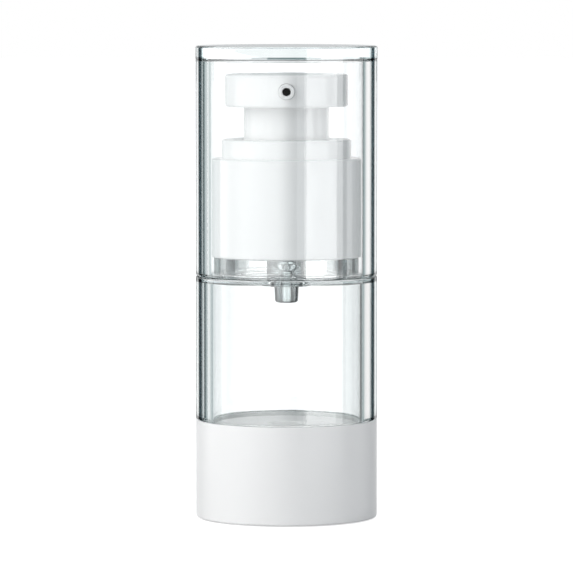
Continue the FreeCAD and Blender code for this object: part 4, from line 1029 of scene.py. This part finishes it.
# %% Snap closure and collar
SLOTS = (8, 0.5, 12.0)
SLOT_TOP = 54.8
CLOSURE, CLOSURE_BORE, CLOSURE_HOLE, CLOSURE_LOW, CLOSURE_TOP = 12.55, 11.5, 7.0, 48.2, 58.8
HOOK, HOOK_LOW, HOOK_TOP, HOOK_SLOPE = 11.25, 51.6, 52.4, 0.25
COLLAR, COLLAR_BORE, COLLAR_LOW, COLLAR_STEP = 13.6, 12.6, 47.6, 65.5
TIER, TIER_BORE, TIER_TOP, SLEEVE, SLEEVE_BORE = 11.8, 10.8, 68.9, 8.9, 8.0
COLLAR_WALL = 1.0


def slot_ring(r, z, angles):
    """Raises the ring's lower edge to the top of each slot, and takes the bead away there."""
    low = in_strip(angles, *SLOTS) & (z < SLOT_TOP)
    return np.where(low, np.maximum(r, CLOSURE_BORE), r), np.where(low, SLOT_TOP, z)


snap_closure = turn("snap_closure", [
    (CLOSURE_BORE, CLOSURE_LOW, 0.1), (CLOSURE, CLOSURE_LOW, 0.2), (CLOSURE, CLOSURE_TOP, 0.2),
    (CLOSURE_HOLE, CLOSURE_TOP, 0.1), (CLOSURE_HOLE, FLANGE_TOP, 0.1), (CLOSURE_BORE, FLANGE_TOP, 0.1),
    (CLOSURE_BORE, HOOK_TOP, 0.05), (HOOK, HOOK_TOP - HOOK_SLOPE, 0.05),
    (HOOK, HOOK_LOW + HOOK_SLOPE, 0.05), (CLOSURE_BORE, HOOK_LOW, 0.05),
], wheel(COLUMNS, (SLOTS,)), slot_ring)
dress(snap_closure, "snap_closure", "container", clear_pump)

collar = turn("collar", [
    (COLLAR_BORE, COLLAR_LOW, 0.1), (COLLAR, COLLAR_LOW, 0.4), (COLLAR, COLLAR_STEP, 0.4),
    (TIER, COLLAR_STEP, 0.1), (TIER, TIER_TOP, 0.4), (SLEEVE_BORE, TIER_TOP, 0.4),
    (SLEEVE_BORE, CLOSURE_TOP + FIT, 0.1), (SLEEVE, CLOSURE_TOP + FIT, 0.1),
    (SLEEVE, TIER_TOP - COLLAR_WALL, 0.1), (TIER_BORE, TIER_TOP - COLLAR_WALL, 0.1),
    (TIER_BORE, COLLAR_STEP - COLLAR_WALL, 0.1), (COLLAR_BORE, COLLAR_STEP - COLLAR_WALL, 0.1),
])
dress(collar, "collar", "container", pump_white)

# %% [markdown]
# ## The plunger
# The stem is a tube with a flange for the spring. The fluted rod closes its lower end, and the
# pump piston slides a little on it to open and close the ports. All three are small and round, so
# they are turned with fewer columns. The flutes are columns that are pulled in to the rod's core.

# %% Stem, rod and pump piston
THIN_COLUMNS = 96
FLUTES = (4, 0.25, 0.8)
ROD_CORE, FLUTE_LOW = 0.504, 56.72
STEM, STEM_BORE, STEM_LOW, STEM_TOP = 2.1, 1.1, 58.2, 76.25
SEAT, SEAT_LOW, SEAT_TOP = 6.9, 72.0, 73.0
HEAD, HEAD_LOW, HEAD_RIM, HEAD_TOP, SHANK, SHANK_TOP = 2.88, 55.5, 56.1, 56.7, 1.05, 61.2
SEAL_BORE, SEAL_SLEEVE, SEAL_RIM, SEAL_WAIST, SEAL_LIP = 2.18, 2.73, 3.27, 3.67, 3.82
SLEEVE_LOW, SEAL_LOW, SEAL_TOP, WEB_LOW, WEB_TOP = 56.75, 56.3, 59.35, 57.7, 58.4
LIP_HEIGHT, LIP_SLOPE = 0.6, 0.15


def flute_rod(r, z, angles):
    """Cuts the shank down to its core in the flutes."""
    return np.where(in_strip(angles, *FLUTES) & (z > FLUTE_LOW), np.minimum(r, ROD_CORE), r), z


stem = turn("stem", [
    (STEM_BORE, STEM_LOW, 0.1), (STEM, STEM_LOW, 0.1), (STEM, SEAT_LOW, 0.2), (SEAT, SEAT_LOW, 0.1),
    (SEAT, SEAT_TOP, 0.1), (STEM, SEAT_TOP, 0.2), (STEM, STEM_TOP, 0.2), (STEM_BORE, STEM_TOP, 0.1),
], wheel(PUMP_COLUMNS))
dress(stem, "stem", "plunger", inner_white)

rod = turn("piston_rod", [
    (0, HEAD_LOW, 0), (STEM, HEAD_LOW, 0.1), (HEAD, HEAD_RIM, 0.1), (HEAD, HEAD_TOP, 0.1),
    (SHANK, HEAD_TOP, 0.05), (SHANK, SHANK_TOP, 0.1), (0, SHANK_TOP, 0),
], wheel(THIN_COLUMNS, (FLUTES,)), flute_rod)
dress(rod, "piston_rod", "plunger", inner_white)

pump_piston = turn("pump_piston", [
    (SEAL_BORE, SLEEVE_LOW, 0.05), (SEAL_SLEEVE, SLEEVE_LOW, 0.1), (SEAL_SLEEVE, WEB_LOW, 0.1),
    (SEAL_RIM, WEB_LOW, 0.1), (SEAL_RIM, SEAL_LOW, 0.1), (SEAL_LIP, SEAL_LOW, 0.1),
    (SEAL_LIP, SEAL_LOW + LIP_HEIGHT, 0.05), (SEAL_WAIST, SEAL_LOW + LIP_HEIGHT + LIP_SLOPE, 0.05),
    (SEAL_WAIST, SEAL_TOP - LIP_HEIGHT - LIP_SLOPE, 0.05), (SEAL_LIP, SEAL_TOP - LIP_HEIGHT, 0.05),
    (SEAL_LIP, SEAL_TOP, 0.1), (SEAL_RIM, SEAL_TOP, 0.1), (SEAL_RIM, WEB_TOP, 0.1),
    (SEAL_SLEEVE, WEB_TOP, 0.1), (SEAL_SLEEVE, SEAL_TOP, 0.1), (SEAL_BORE, SEAL_TOP, 0.05),
], wheel(PUMP_COLUMNS))
dress(pump_piston, "pump_piston", "seal", seal_white)

# %% [markdown]
# ## The button
# A round button with a shallow finger dish. Underneath it has eight ribs and the bar that carries
# the outlet channel. It is turned like the other pieces, and its underside is pulled down to the
# ribs and the bar. Rows of points are kept on the wall at the front, for the nozzle's hole.

# %% Button profile
RIM_RIBS = (8, 0.4, 8.9)
RIM_RIB_END, UNDERSIDE, SKIRT_LOW = 76.8, 79.3, 66.0
BOSS, SKIRT_INSIDE, SKIRT_OUTSIDE, RIM_INSIDE, WALL_RADIUS = 3.4, 7.1, 7.8, 10.0, 11.2
BOSS_LOW, STEM_SEAT, RIM_LOW, BUTTON_TOP = 73.05, 76.3, 74.8, 80.7
BOSS_BORE, BOSS_CHANNEL = 2.15, 1.0
BAR_RADIUS = 2.1
BLOCK_HALF = 2.1
BLOCK_ROWS = 17
DISH_RADIUS, DISH_DEPTH, DISH_RADII = 9.4, 0.35, (7.9, 6.3, 4.7, 3.1, 1.5)


def button_underside(r, z, angles):
    """Lowers the underside to the ribs, and to the lower half of the round bar at the front."""
    between_walls = (r > BOSS - SLIP) & (r < RIM_INSIDE + SLIP)
    inside = between_walls & (z < UNDERSIDE + SLIP) & (z > (BOSS_LOW + RIM_LOW) / 2)
    ribbed = in_strip(angles, *RIM_RIBS) & inside & (r > SKIRT_OUTSIDE - SLIP)
    z = np.where(ribbed, np.minimum(z, RIM_RIB_END), z)
    x = r * np.cos(angles)
    bar = NOZZLE_HEIGHT - np.sqrt(np.maximum(BAR_RADIUS ** 2 - x ** 2, 0))
    barred = inside & (np.abs(x) < BAR_RADIUS) & (np.sin(angles) < 0)
    return r, np.where(barred, np.minimum(z, bar), z)


row_heights = NOZZLE_HEIGHT + np.linspace(-BLOCK_HALF, BLOCK_HALF, BLOCK_ROWS)
wall_rows = [(WALL_RADIUS, height, 0) for height in row_heights]
dish = [(r, BUTTON_TOP - DISH_DEPTH * (1 - (r / DISH_RADIUS) ** 2), 0.5) for r in DISH_RADII]
button_corners = [
    (0, NOZZLE_HEIGHT, 0), (BOSS_CHANNEL, NOZZLE_HEIGHT, 0.1), (BOSS_CHANNEL, STEM_SEAT, 0.1),
    (BOSS_BORE, STEM_SEAT, 0.1), (BOSS_BORE, BOSS_LOW, 0.1), (BOSS, BOSS_LOW, 0.2),
    (BOSS, UNDERSIDE, 0.2), (SKIRT_INSIDE, UNDERSIDE, 0.2), (SKIRT_INSIDE, SKIRT_LOW, 0.2),
    (SKIRT_OUTSIDE, SKIRT_LOW, 0.2), (SKIRT_OUTSIDE, UNDERSIDE, 0.2), (RIM_INSIDE, UNDERSIDE, 0.2),
    (RIM_INSIDE, RIM_LOW, 0.2), (WALL_RADIUS, RIM_LOW, 0.6), *wall_rows, (WALL_RADIUS, BUTTON_TOP, 0.6),
    (DISH_RADIUS, BUTTON_TOP, 0.5), *dish, (0, BUTTON_TOP - DISH_DEPTH, 0),
]
angles = wheel(COLUMNS, (RIM_RIBS,))
grid, _, _ = turned_grid(button_corners, angles, button_underside)
print("button grid:", grid.shape)

# %% [markdown]
# The hole for the nozzle is let into the turned wall. A boolean would leave sharp slivers round it,
# so a block of the wall's quads gives way to rings that pass from the block's outline to a circle,
# and on into the hole, to the seat of the nozzle and the channel behind it.

# %% Button with its nozzle hole
BLOCK_HALF_COLUMNS = 8
MOUTH_RADIUS, MOUTH_SHARES = 1.53, (0.4, 0.75, 1)
HOLE_RADIUS = 1.45
HOLE_RINGS = ((1.47, 0.03), (HOLE_RADIUS, 0.1))
SEAT_FLOOR, CHANNEL_RADIUS, CHANNEL_END = 8.15, 1.0, 1.3

on_wall = np.isclose(np.hypot(grid[:, 0, 0], grid[:, 0, 1]), WALL_RADIUS)
in_block = np.abs(grid[:, 0, 2] - NOZZLE_HEIGHT) < BLOCK_HALF + SLIP
block_rows = np.flatnonzero(on_wall & in_block)
columns_off = np.round(np.abs(angles - 1.5 * np.pi) * COLUMNS / (2 * np.pi), 2)
block_columns = np.flatnonzero(columns_off <= BLOCK_HALF_COLUMNS)
i0, i1, j0, j1 = block_rows[0], block_rows[-1], block_columns[0], block_columns[-1]

columns = len(angles)
number = (np.arange(len(grid))[:, None] - 1) * columns + np.arange(columns)[None]
edge = np.concatenate([number[i0, j0:j1], number[i0:i1, j1], number[i1, j1:j0:-1], number[i1:i0:-1, j0]])
points = flat_list(grid, False)
quads, *fans = turned_faces(len(grid), columns, False)
i, j = np.divmod(np.arange(len(quads)), columns)
quads = quads[~((i + 1 >= i0) & (i + 1 < i1) & (j >= j0) & (j < j1))]


def on_button_wall(across):
    """Points (x, -sqrt(R^2 - x^2), z) of the button's wall over points (x, z) seen from the front."""
    x, z = across.T
    return np.stack([x, -np.sqrt(WALL_RADIUS ** 2 - x ** 2), z], axis=-1)


centre = np.array([0, NOZZLE_HEIGHT])
outline = points[edge][:, [0, 2]] - centre
spokes = outline / np.linalg.norm(outline, axis=1, keepdims=True)
rings = [on_button_wall(outline * (1 - t) + spokes * MOUTH_RADIUS * t + centre) for t in MOUTH_SHARES]
rings += [on_button_wall(spokes * radius + centre) + [0, depth, 0] for radius, depth in HOLE_RINGS]
inner_steps = ((HOLE_RADIUS, SEAT_FLOOR), (CHANNEL_RADIUS, SEAT_FLOOR), (CHANNEL_RADIUS, CHANNEL_END))
for radius, depth in inner_steps:
    across = spokes * radius + centre
    rings.append(np.stack([across[:, 0], np.full(len(across), -depth), across[:, 1]], axis=-1))
first = len(points)
steps = np.arange(len(edge))
loops = [edge] + [first + k * len(edge) + steps for k in range(len(rings))]
sides = [np.stack([a, np.roll(a, -1), np.roll(b, -1), b], axis=-1) for a, b in zip(loops, loops[1:])]
end = first + len(rings) * len(edge)
plug = np.stack([loops[-1], np.roll(loops[-1], -1), np.full(len(edge), end)], axis=-1)
points = np.vstack([points, *rings, [[0, -CHANNEL_END, NOZZLE_HEIGHT]]])
button = fill_mesh("actuator_button", points, [quads, *fans, *sides, plug])
dress(button, "actuator_button", "button", pump_white)

# %% [markdown]
# The nozzle insert is a small tube, pressed into the button's seat. It is turned about its own axis
# like the rest and then laid along -Y. Turning the object would do that too, but a finished piece
# keeps its place in its mesh.

# %% Nozzle insert
NOZZLE_BACK, NOZZLE_TIP, ORIFICE_BACK = 8.2, 12.4, 11.0
NOZZLE_OUTSIDE, NOZZLE_BORE, ORIFICE = 1.4, 1.0, 0.72

points, normals, closed = turned_grid([
    (NOZZLE_BORE, NOZZLE_BACK, 0.05), (NOZZLE_OUTSIDE, NOZZLE_BACK, 0.1), (NOZZLE_OUTSIDE, NOZZLE_TIP, 0.2),
    (ORIFICE, NOZZLE_TIP, 0.1), (ORIFICE, ORIFICE_BACK, 0.05), (NOZZLE_BORE, ORIFICE_BACK, 0.05),
], wheel(THIN_COLUMNS))
laid = flat_list(points, closed)[:, [0, 2, 1]] * [1, -1, 1] + [0, 0, NOZZLE_HEIGHT]
laid_normals = flat_list(normals, closed)[:, [0, 2, 1]] * [1, -1, 1]
insert = fill_mesh("nozzle_insert", laid, turned_faces(*points.shape[:2], closed), laid_normals)
dress(insert, "nozzle_insert", "button", nozzle_white)

# %% [markdown]
# ## Spring and ball
# The spring is a round wire on a helix. The Screw modifier could wind it with one pitch, but a real
# spring has closer turns at its ends. So the wire's path is worked out with two pitches, and a
# circle is carried along it.

# %% Spring
SPRING_MEAN, WIRE_RADIUS = 6.25, 0.45
SPRING_LOW, SPRING_HIGH = 58.1, 71.5
TURNS, STEPS_PER_TURN, WIRE_SIDES = 7, 64, 16
END_PITCH = 1.4
middle_pitch = (SPRING_HIGH - SPRING_LOW - 2 * END_PITCH) / (TURNS - 2)


def wire_along(path, radius, sides):
    """A tube: point (i, j) is path_i + radius (n_i cos b_j + m_i sin b_j), closed by flat ends.

    n is the outward direction made square to the path's direction, and m is square to both.
    """
    along = np.gradient(path, axis=0)
    along /= np.linalg.norm(along, axis=1, keepdims=True)
    outward = path * [1, 1, 0]
    outward -= np.sum(outward * along, axis=1, keepdims=True) * along
    outward /= np.linalg.norm(outward, axis=1, keepdims=True)
    third = np.cross(along, outward)
    b = np.arange(sides) * 2 * np.pi / sides
    spokes = outward[:, None] * np.cos(b)[:, None] + third[:, None] * np.sin(b)[:, None]
    rings = radius * spokes + path[:, None]
    points = np.vstack([rings.reshape(-1, 3), path[:1], path[-1:]])
    count, j = len(path) * sides, np.arange(sides)
    beside, last = (j + 1) % sides, count - sides
    caps = [np.stack([np.full(sides, count), beside, j], axis=-1),
            np.stack([np.full(sides, count + 1), last + j, last + beside], axis=-1)]
    return points, [grid_faces(len(path), sides, False), *caps]


spot = np.linspace(0, TURNS, TURNS * STEPS_PER_TURN + 1)
heights = np.interp(spot, [0, 1, TURNS - 1, TURNS],
                    [SPRING_LOW, SPRING_LOW + END_PITCH, SPRING_HIGH - END_PITCH, SPRING_HIGH])
angle = spot * 2 * np.pi
path = np.stack([SPRING_MEAN * np.cos(angle), SPRING_MEAN * np.sin(angle), heights], axis=-1)
spring = fill_mesh("return_spring", *wire_along(path, WIRE_RADIUS, WIRE_SIDES))
dress(spring, "return_spring", "container", spring_steel)
print(f"spring: {TURNS} turns, middle pitch {middle_pitch:.2f} mm")

# %% [markdown]
# The ball rests on the cone at the cylinder's lower end. A UV sphere would do, but the grid of points
# (cos s cos a, cos s sin a, sin s) goes through the same helpers and brings its exact normals. The
# pierced disc that keeps the ball in is hidden and plain, so the CAD's own mesh stays.

# %% Ball and its cage
BALL_RADIUS, BALL_HEIGHT, BALL_ROWS = 1.7, 46.47, 49

slope = np.linspace(-np.pi / 2, np.pi / 2, BALL_ROWS)[:, None]
angles = wheel(THIN_COLUMNS)
unit = np.stack([np.cos(slope) * np.cos(angles), np.cos(slope) * np.sin(angles),
                 np.sin(slope) * np.ones_like(angles)], axis=-1)
ball = fill_mesh("inlet_ball", flat_list(unit * BALL_RADIUS + [0, 0, BALL_HEIGHT], False),
                 turned_faces(BALL_ROWS, THIN_COLUMNS, False), flat_list(unit, False))
dress(ball, "inlet_ball", "ball", ball_steel)

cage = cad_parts["ball_cage"]
cage.data.materials.clear()
cage.data.materials.append(inner_white)
print("the ball cage stays as the CAD made it")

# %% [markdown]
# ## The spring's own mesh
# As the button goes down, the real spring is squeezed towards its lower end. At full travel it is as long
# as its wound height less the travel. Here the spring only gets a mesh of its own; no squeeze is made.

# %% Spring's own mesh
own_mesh(spring)

# %% [markdown]
# ## Finish
# The box round all shown pieces, stage pieces left out, is worked out.

# %% Boxes and finish
low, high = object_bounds()
